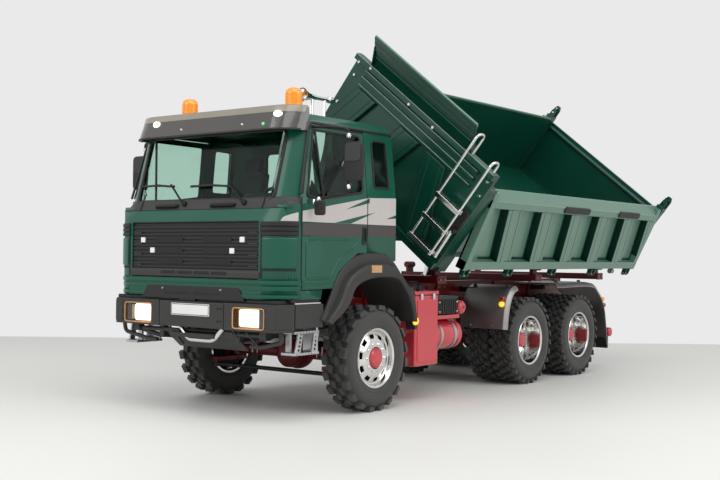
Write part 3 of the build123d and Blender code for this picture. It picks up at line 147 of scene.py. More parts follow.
def round_corners(path, radius, steps=4, closed=False):
    """Path with each inner corner turned into a small arc."""
    path = [Vector(point) for point in path]
    count = len(path)
    result = []
    for index, corner in enumerate(path):
        if not closed and index in (0, count - 1):
            result.append(corner)
            continue
        before, after = path[index - 1] - corner, path[(index + 1) % count] - corner
        reach = min(radius, before.length * 0.45, after.length * 0.45)
        start, end = corner + before.normalized() * reach, corner + after.normalized() * reach
        for step in range(steps + 1):
            t = step / steps
            result.append((1 - t) ** 2 * start + 2 * t * (1 - t) * corner + t * t * end)
    return result


def rounded(low, high, radius, steps=5):
    """Rectangle between two corners, its own corners made round."""
    corners = [(low[0], low[1]), (high[0], low[1]), (high[0], high[1]), (low[0], high[1])]
    return [tuple(point) for point in round_corners(corners, radius, steps, True)]


def sheet(axis, path, thick, span):
    """Bent sheet: a path square to an axis, given a thickness."""
    path = [Vector(point) for point in path]
    upper, lower = [], []
    for index, point in enumerate(path):
        before = (point - path[index - 1]).normalized() if index else None
        after = (path[index + 1] - point).normalized() if index + 1 < len(path) else None
        along = ((before or after) + (after or before)).normalized()
        side = Vector((-along.y, along.x))
        stretch = 1 / max(0.4, side.dot(Vector((-(after or before).y, (after or before).x))))
        upper.append(tuple(point + side * stretch * thick / 2))
        lower.append(tuple(point - side * stretch * thick / 2))
    return prism(axis, upper + lower[::-1], span)


def lathe(profile, axis, centre, steps=40, ring=False):
    """Turned shape from (along, radius) points; a ring's profile is a closed loop."""
    centre = Vector(centre)
    frame_of = {"x": ((1, 0, 0), (0, 1, 0), (0, 0, 1)), "y": ((0, 1, 0), (0, 0, 1), (1, 0, 0)),
                "z": ((0, 0, 1), (1, 0, 0), (0, 1, 0))}[axis]
    main, first, second = (Vector(v) for v in frame_of)
    count = len(profile)
    points = []
    for step in range(steps):
        out = first * cos(tau * step / steps) + second * sin(tau * step / steps)
        points += [centre + main * along + out * radius for along, radius in profile]
    faces = []
    for step in range(steps):
        here, there = step * count, (step + 1) % steps * count
        for index in range(count if ring else count - 1):
            after = (index + 1) % count
            faces.append([here + index, here + after, there + after, there + index])
    if not ring:
        faces.append([step * count for step in range(steps)])
        faces.append([step * count + count - 1 for step in reversed(range(steps))])
    return points, faces


def tube(path, radius, sides=10, closed=False):
    """Round bar along a path of points."""
    path = [Vector(point) for point in path]
    count = len(path)
    points, faces = [], []
    normal = None
    for index, point in enumerate(path):
        before = path[index - 1] if closed or index else point
        after = path[(index + 1) % count] if closed or index + 1 < count else point
        along = (after - before).normalized()
        if normal is None:
            normal = along.orthogonal().normalized()
        normal = (normal - along * normal.dot(along)).normalized()
        other = along.cross(normal)
        for side in range(sides):
            angle = tau * side / sides
            points.append(point + (normal * cos(angle) + other * sin(angle)) * radius)
    for index in range(count if closed else count - 1):
        here, there = index * sides, (index + 1) % count * sides
        for side in range(sides):
            after = (side + 1) % sides
            faces.append([here + side, here + after, there + after, there + side])
    if not closed:
        faces.append(list(range(sides))[::-1])
        faces.append(list(range((count - 1) * sides, count * sides)))
    return points, faces


def swept(sections):
    """Closed shell through sections with the same number of points."""
    count = len(sections[0])
    points = [Vector(point) for section in sections for point in section]
    faces = [list(range(count)), list(range(len(points) - count, len(points)))[::-1]]
    for row in range(len(sections) - 1):
        for index in range(count):
            after = (index + 1) % count
            here, there = row * count, (row + 1) * count
            faces.append([here + index, here + after, there + after, there + index])
    return points, faces


def smooth_path(corners, steps=6):
    """Points of a smooth curve through a few corners (Catmull-Rom)."""
    ends = [Vector(corner) for corner in corners]
    ends = [2 * ends[0] - ends[1], *ends, 2 * ends[-1] - ends[-2]]
    result = []
    for a, b, c, d in zip(ends, ends[1:], ends[2:], ends[3:]):
        for step in range(steps):
            t = step / steps
            result.append(0.5 * (2 * b + (c - a) * t + (2 * a - 5 * b + 4 * c - d) * t * t
                                 + (3 * b - a - 3 * c + d) * t ** 3))
    return result + [ends[-2]]


# Materials
def colour(code, alpha=1.0):
    """sRGB hex value to linear."""
    parts = [int(code[place:place + 2], 16) / 255 for place in (1, 3, 5)]
    linear = [part / 12.92 if part <= 0.04045 else ((part + 0.055) / 1.055) ** 2.4 for part in parts]
    return (*linear, alpha)


def add(tree, kind, inputs=None, **settings):
    """Adds one node; an input given as a socket is linked, any other value is set."""
    made = tree.nodes.new(kind)
    for name, value in settings.items():
        setattr(made, name, value)
    for key, value in (inputs or {}).items():
        if isinstance(value, bpy.types.NodeSocket):
            tree.links.new(value, made.inputs[key])
        else:
            made.inputs[key].default_value = value
    return made


def grain(size):
    """Pattern scale, per metre, of a feature of so many millimetres."""
    return 1.0 / (size * MM)


def surface(name, dark, light, patch, rough, bump=(1.0, 0.0), stretch=(1, 1, 1), **sockets):
    """Finish that drifts in colour and roughness, with a fine relief: bump is (size, height) in mm."""
    material = bpy.data.materials.new(name)
    material.use_nodes = True
    tree = material.node_tree
    shader = tree.nodes["Principled BSDF"]
    place = add(tree, "ShaderNodeTexCoord").outputs["Object"]
    along = add(tree, "ShaderNodeMapping", {"Vector": place, "Scale": stretch}).outputs["Vector"]
    drift = add(tree, "ShaderNodeTexNoise", {"Vector": along, "Scale": grain(patch), "Detail": 4.0})
    shade = add(tree, "ShaderNodeMix", {"Factor": drift.outputs["Fac"]}, data_type="RGBA")
    for key, value in (("A", colour(dark)), ("B", colour(light))):
        [socket for socket in shade.inputs
         if socket.name == key and socket.type == "RGBA"][0].default_value = value
    tree.links.new([socket for socket in shade.outputs if socket.type == "RGBA"][0],
                   shader.inputs["Base Color"])
    gloss = add(tree, "ShaderNodeMapRange", {"Value": drift.outputs["Fac"], "From Min": 0.3,
                                             "From Max": 0.7, "To Min": rough[0], "To Max": rough[1]})
    tree.links.new(gloss.outputs["Result"], shader.inputs["Roughness"])
    size, height = bump
    if height:
        relief = add(tree, "ShaderNodeTexNoise", {"Vector": along, "Scale": grain(size), "Detail": 2.0})
        lift = add(tree, "ShaderNodeBump", {"Height": relief.outputs["Fac"], "Distance": height * MM,
                                            "Strength": 1.0})
        tree.links.new(lift.outputs["Normal"], shader.inputs["Normal"])
    for key, value in sockets.items():
        shader.inputs[key.replace("_", " ")].default_value = value
    return material


def glowing(code, strength):
    return {"Emission_Color": colour(code), "Emission_Strength": strength}


# Sprayed gloss enamel over metal: deep colour under a clear skin with a faint orange peel
green_enamel = surface("green_gloss_enamel", "#064a38", "#0a5542", 30, (0.3, 0.36), (2.2, 0.01),
                       Coat_Weight=0.25, Coat_Roughness=0.06, Specular_IOR_Level=0.3)
# The same enamel on pressed bed sheets, a little darker and flatter
bed_enamel = surface("green_bed_enamel", "#053c2e", "#084636", 40, (0.3, 0.38), (2.6, 0.012),
                     Coat_Weight=0.2, Coat_Roughness=0.08, Specular_IOR_Level=0.3)
# The wall's outer pressings: green enamel made pale by the floor's light painted into the colour (painted
# reflection)
wall_painted_floor_light = surface("green_wall_painted_floor_light", "#537868", "#5f8472", 40, (0.32, 0.4), (2.6, 0.012),
                      Coat_Weight=0.3)
# Painted shade: near-black green for the grooves between the pressings and the ribs' shaded sides
groove_painted_shade = surface("green_groove_painted_shade", "#032a1f", "#053326", 20, (0.4, 0.5), (2.0, 0.01),
                        Specular_IOR_Level=0.25)
# Painted highlight: pale green for the light caught on the bed's folded rims
rim_painted_highlight = surface("green_rim_painted_highlight", "#4f7d68", "#5d8a75", 25, (0.25, 0.35), (2.0, 0.01),
                      Coat_Weight=0.6)
# Satin red enamel on the chassis: dark, evenly sprayed
frame_red = surface("dark_red_enamel", "#5a0b0c", "#690f11", 30, (0.34, 0.44), (1.6, 0.012),
                    Specular_IOR_Level=0.35)
# Painted shade: darkened red for the bolt heads on the frame
frame_bolt_painted_shade = surface("red_enamel_painted_shade", "#3a0708", "#460a0b", 6, (0.35, 0.45), (1.0, 0.01),
                     Specular_IOR_Level=0.3)
# Bright red gloss enamel on tanks, box and hubs
box_red = surface("bright_red_enamel", "#c02c38", "#cc3843", 30, (0.26, 0.34), (2.0, 0.012), Coat_Weight=0.6)
# Injection-moulded black ABS with a fine spark-eroded grain
black_abs = surface("black_moulded_abs", "#1b1a1a", "#242323", 20, (0.45, 0.55), (0.6, 0.02),
                    Specular_IOR_Level=0.35)
# Charcoal ABS of the bumper and arches, lighter where it catches the light
charcoal_abs = surface("charcoal_moulded_abs", "#2a2929", "#343332", 24, (0.42, 0.52), (0.6, 0.02),
                       Specular_IOR_Level=0.4)
# Deep black of gaps and joints, and painted shade in slots, holes, hollows and openings
gap_and_shade_black = surface("shadow_black", "#060606", "#0a0a0a", 10, (0.7, 0.8))
# Soft black rubber of seals and wiper blades
seal_rubber = surface("seal_rubber", "#101010", "#181818", 8, (0.55, 0.65), (0.8, 0.02))
# Vulcanised tyre rubber: dark grey, matt, with a dusty sheen
tyre_rubber = surface("tyre_rubber", "#2c2b2b", "#3a3938", 14, (0.6, 0.75), (0.7, 0.03), Sheen_Weight=0.15)
# Turned and polished aluminium rims
polished = surface("polished_aluminium", "#cfcfcd", "#e0dfdc", 12, (0.1, 0.18), (1.2, 0.006), Metallic=1.0)
# Satin and brushed aluminium sheet: soft sheen, and long fine streaks
satin_aluminium = surface("satin_aluminium", "#8b8786", "#9c9897", 14, (0.4, 0.5), (0.8, 0.01), Metallic=1.0)
brushed = surface("brushed_aluminium", "#a9aaac", "#c2c3c4", 6, (0.3, 0.42), (0.5, 0.012), (0.08, 1, 1),
                  Metallic=1.0)
# Bright chrome plate on horn, screws and latches
chrome = surface("chrome_plate", "#d5d6d8", "#e4e5e6", 10, (0.05, 0.1), (1.0, 0.0), Metallic=1.0)
# Zinc-plated steel fasteners
zinc = surface("zinc_plated_steel", "#8e8f90", "#a8a9aa", 3, (0.3, 0.42), (0.6, 0.01), Metallic=1.0)
# Blackened steel of shafts and hooks
black_steel = surface("blackened_steel", "#1b1b1c", "#272728", 6, (0.4, 0.5), (0.8, 0.01), Metallic=0.6)
# Smoked acrylic of the sun visor
smoked = surface("smoked_acrylic", "#4d4a45", "#575450", 30, (0.12, 0.18), (2.0, 0.004),
                 Transmission_Weight=0.35, Coat_Weight=0.5)
# Paler strip along the visor's top
smoked_edge = surface("pale_smoked_acrylic", "#857f73", "#938d7f", 30, (0.2, 0.28), (2.0, 0.004),
                      Coat_Weight=0.5)
# Clear tinted glazing
glazing = surface("tinted_glazing", "#cfe6dc", "#d6ebe2", 40, (0.01, 0.03), (2.0, 0.0),
                  Transmission_Weight=1.0, IOR=1.2)
# Moulded lenses, lit from behind
amber = surface("amber_lens", "#e07a10", "#f59a1c", 4, (0.18, 0.26), (1.2, 0.02), Coat_Weight=0.6,
                **glowing("#ff9a1a", 0.35))
lit_amber = surface("lit_amber_lens", "#f0a020", "#ffb838", 4, (0.2, 0.3), **glowing("#ffb430", 1.4))
red_lens = surface("red_lens", "#8e1010", "#a81818", 4, (0.18, 0.26), (1.2, 0.02), Coat_Weight=0.6)
lamp_glow = surface("lit_headlamp_lens", "#fff2dc", "#fffaf0", 4, (0.1, 0.2), (1.4, 0.03),
                    **glowing("#fff0d4", 3.2))
lamp_warm = surface("warm_lamp_edge", "#8a6444", "#a58058", 4, (0.2, 0.3), **glowing("#ffc48c", 0.22))
clear_lens = surface("clear_lens", "#e6e6e4", "#f4f4f2", 4, (0.08, 0.14), (1.0, 0.02), Coat_Weight=0.8)
green_lamp = surface("green_pilot_lens", "#3fae6a", "#58c681", 3, (0.2, 0.3), **glowing("#50e090", 0.8))
# Vinyl film stripes
pale_film = surface("pale_silver_film", "#b9b3b0", "#c6c0bd", 20, (0.35, 0.42))
dark_film = surface("charcoal_film", "#3a3634", "#443f3d", 20, (0.35, 0.45))
# White enamel of the blank plate
white_enamel = surface("white_enamel", "#e4e4e2", "#efefed", 10, (0.3, 0.4))
# Woven seat cloth and soft dashboard skin
seat_cloth = surface("seat_cloth", "#3b3f40", "#4c5152", 3, (0.8, 0.9), (0.9, 0.08), Sheen_Weight=0.3)
dash_skin = surface("dashboard_skin", "#232b2b", "#2e3838", 8, (0.55, 0.65), (0.8, 0.03))
# Cast iron of engine and gearboxes
cast_iron = surface("cast_iron", "#2a2728", "#3a3536", 5, (0.6, 0.7), (0.9, 0.08), Metallic=0.3)

# Making pieces
SHARP = radians(32)


def show(name, mesh, material, body, bevel=0.0, replaces=()):
    """Puts a finished mesh in the scene, on its body."""
    mesh.materials.clear()
    mesh.materials.append(material)
    mesh.polygons.foreach_set("material_index", [0] * len(mesh.polygons))
    mesh.polygons.foreach_set("use_smooth", [True] * len(mesh.polygons))
    made = bpy.data.objects.new(name, mesh)
    bpy.context.scene.collection.objects.link(made)
    if bevel:
        rim = made.modifiers.new("soft_edges", "BEVEL")
        rim.width = bevel * MM
        rim.segments = 2
        rim.limit_method = "ANGLE"
        rim.angle_limit = SHARP
        made.modifiers.new("even_shading", "WEIGHTED_NORMAL")
    else:
        mesh.set_sharp_from_angle(angle=SHARP)
    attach(made, body)
    if replaces:
        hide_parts(*replaces)
    return made


def to_mesh(name, shape, place):
    """Merged mesh of a shape, faces outwards, in the row frame."""
    points, faces = shape
    mesh = bpy.data.meshes.new(name)
    mesh.from_pydata([place @ Vector(point) for point in points], [], faces)
    work = bmesh.new()
    work.from_mesh(mesh)
    bmesh.ops.remove_doubles(work, verts=work.verts, dist=0.002 * MM)
    bmesh.ops.recalc_face_normals(work, faces=work.faces)
    work.to_mesh(mesh)
    work.free()
    return mesh


def piece(name, shape, material, body="chassis", place=CHASSIS, bevel=0.0, replaces=()):
    return show(name, to_mesh(name, shape, place), material, body, bevel, replaces)


def dressed(node, material, bevel=0.4):
    """Merged copy of a solid with softened edges and a real finish, standing for it."""
    source = frame["nodes"][node]
    work = bmesh.new()
    work.from_mesh(source.data)
    bmesh.ops.remove_doubles(work, verts=work.verts, dist=0.002 * MM)
    if bevel:
        bmesh.ops.dissolve_limit(work, angle_limit=radians(1.0), verts=work.verts, edges=work.edges)
    mesh = bpy.data.meshes.new(node + "_dressed")
    work.to_mesh(mesh)
    work.free()
    return show(node + "_dressed", mesh, material, source["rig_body"], bevel, (node,))


# Geometry Nodes trees for what repeats
def new_tree(name, inputs):
    tree = bpy.data.node_groups.new(name, "GeometryNodeTree")
    tree.interface.new_socket("Geometry", in_out="INPUT", socket_type="NodeSocketGeometry")
    for label, kind in inputs:
        tree.interface.new_socket(label, in_out="INPUT", socket_type=kind)
    tree.interface.new_socket("Geometry", in_out="OUTPUT", socket_type="NodeSocketGeometry")
    return tree, add(tree, "NodeGroupInput").outputs


def close_tree(tree, instances, material, also=None):
    """Ends a tree in Realize Instances and Set Material."""
    solid = add(tree, "GeometryNodeRealizeInstances", {"Geometry": instances}).outputs["Geometry"]
    painted = add(tree, "GeometryNodeSetMaterial",
                  {"Geometry": solid, "Material": material}).outputs["Geometry"]
    if also:
        gather = add(tree, "GeometryNodeJoinGeometry")
        tree.links.new(also, gather.inputs["Geometry"])
        tree.links.new(painted, gather.inputs["Geometry"])
        painted = gather.outputs["Geometry"]
    add(tree, "NodeGroupOutput", {"Geometry": painted})


def grown(name, mesh, runs):
    """Plain mesh made by running trees on a start mesh, each with its named inputs."""
    made = bpy.data.objects.new(name, mesh)
    bpy.context.scene.collection.objects.link(made)
    for tree, values in runs:
        step = made.modifiers.new(tree.name, "NODES")
        step.node_group = tree
        for item in tree.interface.items_tree:
            if item.in_out == "INPUT" and item.name in values:
                step[item.identifier] = values[item.name]
    result = bpy.data.meshes.new_from_object(made.evaluated_get(bpy.context.evaluated_depsgraph_get()))
    made.modifiers.clear()
    bpy.data.objects.remove(made)
    return result


def fastener_tree():
    """Bolt, screw or rivet heads on points, each facing along the point's own direction."""
    tree, given = new_tree("fastener_heads", [("Radius", "NodeSocketFloat"), ("Height", "NodeSocketFloat"),
                                              ("Crown", "NodeSocketFloat"), ("Sides", "NodeSocketInt"),
                                              ("Material", "NodeSocketMaterial")])
    top = add(tree, "ShaderNodeMath", {0: given["Radius"], 1: given["Crown"]},
              operation="MULTIPLY").outputs[0]
    head = add(tree, "GeometryNodeMeshCone", {"Vertices": given["Sides"], "Radius Top": top,
                                              "Radius Bottom": given["Radius"], "Depth": given["Height"]})
    facing = add(tree, "GeometryNodeInputNamedAttribute", {"Name": "facing"}, data_type="FLOAT_VECTOR")
    turn = add(tree, "FunctionNodeAlignRotationToVector", {"Vector": facing.outputs["Attribute"]}, axis="Z")
    spots = add(tree, "GeometryNodeInstanceOnPoints",
                {"Points": given["Geometry"], "Instance": head.outputs["Mesh"],
                 "Rotation": turn.outputs["Rotation"]})
    close_tree(tree, spots.outputs["Instances"], given["Material"])
    return tree


def lug_tree():
    """One row of tapered tread blocks round a wheel, joined to the tyre it is run on."""
    tree, given = new_tree("tread_row", [("Count", "NodeSocketInt"), ("Base", "NodeSocketFloat"),
                                         ("Across", "NodeSocketFloat"), ("Phase", "NodeSocketFloat"),
                                         ("Size", "NodeSocketVector"), ("Skew", "NodeSocketFloat"),
                                         ("Material", "NodeSocketMaterial")])
    lug = add(tree, "GeometryNodeMeshCube", {"Size": given["Size"]}).outputs["Mesh"]
    normal = add(tree, "GeometryNodeInputNormal").outputs["Normal"]
    upward = add(tree, "ShaderNodeSeparateXYZ", {"Vector": normal}).outputs["Z"]
    is_top = add(tree, "FunctionNodeCompare", {0: upward, 1: 0.5}, operation="GREATER_THAN").outputs["Result"]
    lug = add(tree, "GeometryNodeScaleElements", {"Geometry": lug, "Selection": is_top,
                                                  "Scale": 0.78}).outputs["Geometry"]
    skew = add(tree, "ShaderNodeCombineXYZ", {"Z": given["Skew"]}).outputs["Vector"]
    half = add(tree, "ShaderNodeVectorMath", {0: given["Size"], "Scale": 0.5},
               operation="SCALE").outputs["Vector"]
    rise = add(tree, "ShaderNodeSeparateXYZ", {"Vector": half}).outputs["Z"]
    rise = add(tree, "ShaderNodeMath", {0: rise, 1: given["Base"]}).outputs[0]
    spot = add(tree, "ShaderNodeCombineXYZ", {"Y": given["Across"], "Z": rise}).outputs["Vector"]
    lug = add(tree, "GeometryNodeTransform", {"Geometry": lug, "Translation": spot,
                                              "Rotation": skew}).outputs["Geometry"]
    spots = add(tree, "GeometryNodePoints", {"Count": given["Count"]}).outputs["Points"]
    index = add(tree, "GeometryNodeInputIndex").outputs["Index"]
    place = add(tree, "ShaderNodeMath", {0: index, 1: given["Phase"]}).outputs[0]
    share = add(tree, "ShaderNodeMath", {0: place, 1: given["Count"]}, operation="DIVIDE").outputs[0]
    angle = add(tree, "ShaderNodeMath", {0: share, 1: tau}, operation="MULTIPLY").outputs[0]
    turn = add(tree, "ShaderNodeCombineXYZ", {"Y": angle}).outputs["Vector"]
    turn = add(tree, "FunctionNodeEulerToRotation", {"Euler": turn}).outputs["Rotation"]
    row = add(tree, "GeometryNodeInstanceOnPoints", {"Points": spots, "Instance": lug, "Rotation": turn})
    close_tree(tree, row.outputs["Instances"], given["Material"], also=given["Geometry"])
    return tree


def slat_tree():
    """A row of like bars at an even pitch."""
    tree, given = new_tree("slat_row", [("Count", "NodeSocketInt"), ("First", "NodeSocketVector"),
                                        ("Pitch", "NodeSocketVector"), ("Size", "NodeSocketVector"),
                                        ("Material", "NodeSocketMaterial")])
    line = add(tree, "GeometryNodeMeshLine", {"Count": given["Count"], "Start Location": given["First"],
                                              "Offset": given["Pitch"]}).outputs["Mesh"]
    slat = add(tree, "GeometryNodeMeshCube", {"Size": given["Size"]}).outputs["Mesh"]
    row = add(tree, "GeometryNodeInstanceOnPoints", {"Points": line, "Instance": slat})
    close_tree(tree, row.outputs["Instances"], given["Material"], also=given["Geometry"])
    return tree


heads = fastener_tree()
tread = lug_tree()
slats = slat_tree()


def fasteners(name, spots, radius, height, material, body="chassis", place=CHASSIS, crown=0.7, sides=12):
    """Heads at (point, facing) pairs in millimetres."""
    mesh = bpy.data.meshes.new(name)
    mesh.from_pydata([Vector(point) for point, _ in spots], [], [])
    facing = mesh.attributes.new("facing", "FLOAT_VECTOR", "POINT")
    for index, (_, direction) in enumerate(spots):
        facing.data[index].vector = direction
    values = {"Radius": radius, "Height": height, "Crown": crown, "Sides": sides, "Material": material}
    result = grown(name, mesh, [(heads, values)])
    result.transform(place)
    return show(name, result, material, body)


def slat_rows(name, rows, material, body="chassis", place=CHASSIS, bevel=0.0):
    """Rows of bars: each row is (count, first middle, pitch, size)."""
    runs = [(slats, {"Count": count, "First": first, "Pitch": pitch, "Size": size, "Material": material})
            for count, first, pitch, size in rows]
    result = grown(name, bpy.data.meshes.new(name), runs)
    result.transform(place)
    return show(name, result, material, body, bevel)


# Wheels
CARCASS = 36.0
# Tread rows: blocks round the wheel, place across, phase, block (round, across, up), skew in degrees
FRONT_TREAD = (
    (20, -8.0, 0.0, (7.6, 6.0, 3.2), 8), (20, 8.0, 0.5, (7.6, 6.0, 3.2), -8),
    (20, -2.7, 0.5, (7.2, 4.6, 3.0), -14), (20, 2.7, 0.0, (7.2, 4.6, 3.0), 14),
)
REAR_TREAD = (
    (28, -8.4, 0.0, (4.9, 5.2, 3.2), 16), (28, 8.4, 0.5, (4.9, 5.2, 3.2), -16),
    (28, -4.0, 0.5, (5.4, 3.2, 3.0), -24), (28, 4.0, 0.0, (5.4, 3.2, 3.0), 24),
    (28, 0.0, 0.25, (5.0, 3.4, 3.0), 0),
)


def tyre_mesh(name, centre, rows):
    """Tyre turned about the axle, with its rows of tread blocks."""
    half = TYRE_WIDTH / 2
    one_side = [(half - 2.2, 21.7), (half - 0.9, 23.0), (half - 0.4, 24.6), (half - 0.7, 25.2), (half, 28.5),
                (half - 0.1, 31.5), (half - 0.9, 34.4), (half - 2.4, 35.8), (half - 4.5, CARCASS)]
    profile = one_side + [(-along, radius) for along, radius in reversed(one_side)]
    points, faces = lathe(profile, "y", (0, 0, 0), 72, ring=True)
    mesh = bpy.data.meshes.new(name)
    mesh.from_pydata(points, [], faces)
    mesh.materials.append(tyre_rubber)
    runs = []
    for count, across, phase, size, skew in rows:
        runs.append((tread, {"Count": count, "Base": CARCASS - 0.4, "Across": across, "Phase": phase,
                             "Size": size, "Skew": radians(skew), "Material": tyre_rubber}))
    result = grown(name, mesh, runs)
    result.transform(Matrix.Translation(centre))
    return result


def joined_mesh(name, meshes, place):
    work = bmesh.new()
    for mesh in meshes:
        work.from_mesh(mesh)
    bmesh.ops.recalc_face_normals(work, faces=work.faces)
    result = bpy.data.meshes.new(name)
    work.to_mesh(result)
    work.free()
    result.transform(place)
    return result


def rim_face(face, profile, slots, slot_bands):
    """Turned rim disc with slots left out of its bands; profile is (depth behind the face, radius)."""
    steps = 80
    points, faces = [], []
    for step in range(steps):
        angle = tau * step / steps
        for depth, radius in profile:
            points.append(Vector((radius * sin(angle), face - depth, radius * cos(angle))))
    per_slot = steps // slots
    for step in range(steps):
        for band in range(len(profile) - 1):
            if band in slot_bands and step % per_slot < per_slot // 2:
                continue
            here, there = step * len(profile), (step + 1) % steps * len(profile)
            faces.append([here + band, here + band + 1, there + band + 1, there + band])
    return points, faces


def ring_of(count, radius, face, turn=0.0):
    """Points on a bolt circle, facing out along the axle."""
    return [((radius * sin(tau * k / count + turn), face, radius * cos(tau * k / count + turn)), (0, 1, 0))
            for k in range(count)]


def wheel(axle, side):
    sign = SIDES[side]
    body = f"{axle}_{side}_wheel"
    place = CHASSIS @ Matrix.Translation((AXLE_XS[axle], 0, AXLE_Z)) @ Matrix.Diagonal((1, sign, 1, 1))
    outer = WHEEL_FACE - TYRE_WIDTH / 2
    rear = axle != "front"
    rows = REAR_TREAD if rear else FRONT_TREAD
    middles = [outer, outer - TYRE_WIDTH - TWIN_GAP] if rear else [outer]
    tyres = [tyre_mesh(f"{body}_tyre", (0, middle, 0), rows) for middle in middles]
    show(f"{body}_tyre", joined_mesh(f"{body}_tyre", tyres, place), tyre_rubber, body,
         replaces=(f"{axle}_{side}_tyre",))
    inner = min(middles) - TYRE_WIDTH / 2
    dish = 20.0 if rear else 0.0
    barrel = [(inner + 1.8, 22.0), (inner + 1.8, 20.0), (WHEEL_FACE - 2.4, 20.0), (WHEEL_FACE - 1.4, 20.4),
              (WHEEL_FACE - 0.8, 21.9), (WHEEL_FACE - 1.6, 22.4), (WHEEL_FACE - 2.6, 21.4),
              (inner + 2.6, 21.3)]
    shape = lathe(barrel, "y", (0, 0, 0), 72, ring=True)
    if rear:
        disc = [(dish - 1.0, 20.2), (dish + 0.6, 19.0), (dish + 0.9, 17.6), (dish + 0.6, 13.4),
                (dish - 0.4, 12.4), (dish - 0.8, 8.0)]
    else:
        disc = [(1.8, 20.2), (4.6, 19.3), (5.0, 18.4), (4.3, 17.5), (2.9, 14.6), (2.3, 13.6), (1.9, 12.4),
                (1.7, 8.0)]
    points, faces = rim_face(WHEEL_FACE, disc, 10, (2,) if rear else (3,))
    back = [Vector((p.x, p.y - 0.9, p.z)) for p in points]
    count = len(points)
    edges = {}
    for face in faces:
        for a, b in zip(face, face[1:] + face[:1]):
            edges[(a, b)] = True
    walls = [[a, b, count + b, count + a] for a, b in edges if (b, a) not in edges]
    plate = (points + back, faces + [[count + index for index in reversed(face)] for face in faces] + walls)
    piece(f"{body}_rim", merged(shape, plate), polished, body, place, 0.2, (f"{axle}_{side}_rim",))
    # Brake drum in deep black: painted shade inside the wheel
    drum_face = WHEEL_FACE - dish - (3.0 if rear else 7.0)
    drum = lathe([(inner + 3, 12.0), (inner + 3, 17.5), (drum_face, 17.5), (drum_face, 6.0)], "y",
                 (0, 0, 0), 48)
    piece(f"{body}_drum", drum, gap_and_shade_black, body, place, 0.3)
    seat = WHEEL_FACE - dish - 2.0
    tip = WHEEL_FACE - 8.5 if rear else WHEEL_FACE - 0.4
    hub = [(seat - 1, 7.4), (seat + 0.6, 7.4), (seat + 0.9, 6.9), (tip - 1.2, 6.6), (tip - 0.3, 5.8),
           (tip, 4.0), (tip, 0.4)]
    piece(f"{body}_hub", lathe(hub, "y", (0, 0, 0), 40), box_red, body, place, 0.15)
    nut_face = WHEEL_FACE - dish - (-0.2 if rear else 2.2)
    fasteners(f"{body}_nuts", ring_of(10, 10.4, nut_face, 0.3), 1.15, 1.5, chrome, body, place, 0.85, 6)
    fasteners(f"{body}_hub_bolts", ring_of(6, 5.0, tip - 0.5), 0.45, 0.7, zinc, body, place, 0.8, 6)


for axle in AXLE_XS:
    for side in SIDES:
        wheel(axle, side)

# Solids that keep their form, with softened edges and their finish: node, material, edge width
DRESSED = (
    ("cab_shell", green_enamel, 0.0), ("cab_roof", green_enamel, 0.0), ("door_left", green_enamel, 0.0),
    ("door_right", green_enamel, 0.0), ("windscreen", glazing, 0.0), ("cab_glass", glazing, 0.0),
    ("door_left_glass", glazing, 0.0), ("door_right_glass", glazing, 0.0), ("dashboard", dash_skin, 0.6),
    ("ladder_frame", frame_red, 0.3), ("tipper_subframe", frame_red, 0.4), ("front_axle", frame_red, 0.4),
    ("rear_axles", frame_red, 0.4), ("knuckle_left", frame_red, 0.4), ("knuckle_right", frame_red, 0.4),
    ("tie_rod", black_steel, 0.3), ("leaf_springs", black_steel, 0.4), ("driveline", cast_iron, 0.6),
    ("engine_block", cast_iron, 1.0), ("side_box", box_red, 1.4), ("fuel_tank", brushed, 0.6),
    ("rear_underrun", frame_red, 0.5), ("tail_lamps", black_abs, 0.4), ("bed_floor", bed_enamel, 0.5),
    ("tailgate", bed_enamel, 0.5), ("ram_barrel", black_steel, 0.4), ("ram_stage", chrome, 0.2),
    ("ram_rod", chrome, 0.2), ("sun_visor", smoked, 0.5), ("front_guard", charcoal_abs, 0.4),
    ("battery_box", black_abs, 0.8), ("air_tanks", box_red, 0.6),
)
for node, material, bevel in DRESSED:
    dressed(node, material, bevel)

# Cab skin: places on its front and sides
BELT_Z = 153.0
SIDE_LEAN = 5.5 / 53.0
CORNER_Y = CAB_SIDE - CAB_CORNER
BROW_Z, FOOT_Z, FOOT_X, RAKE = 138.0, 148.0, 98.0, 14.5 / 52.0
DOORS = {"left_door": 1, "right_door": -1}
DOOR_SPAN = (14.7, 86.3)


def cab_front(z):
    """Place of the cab's front skin at a height."""
    if z <= FOOT_Z:
        return CAB_FACE - (CAB_FACE - FOOT_X) / (FOOT_Z - BROW_Z) * max(0.0, z - BROW_Z)
    return FOOT_X - RAKE * (z - FOOT_Z)


def cab_side(z):
    return CAB_SIDE - max(0.0, z - BELT_Z) * SIDE_LEAN


def corner_point(turn, lift, z, sign=1):
    """Point off the cab's front corner, turned so many degrees from straight ahead."""
    reach = CAB_CORNER + lift
    angle = radians(turn)
    round_from = CAB_FACE if z < FOOT_Z else cab_front(z)
    x = min(round_from - CAB_CORNER + reach * cos(angle), cab_front(z) + lift)
    return Vector((x, sign * (CORNER_Y + reach * sin(angle)), z))


def round_corner(profile, start, end, steps=10):
    """Strip with a (lift, height) profile led round the left front corner."""
    turns = [start + (end - start) * step / steps for step in range(steps + 1)]
    return swept([[corner_point(turn, lift, z) for lift, z in profile] for turn in turns])


def round_front(profile, end):
    """The same strip led across the whole front, from corner to corner."""
    turns = [end * step / 8 for step in range(9)]
    sections = [[corner_point(turn, lift, z, -1) for lift, z in profile] for turn in reversed(turns)]
    sections += [[corner_point(turn, lift, z) for lift, z in profile] for turn in turns]
    return swept(sections)


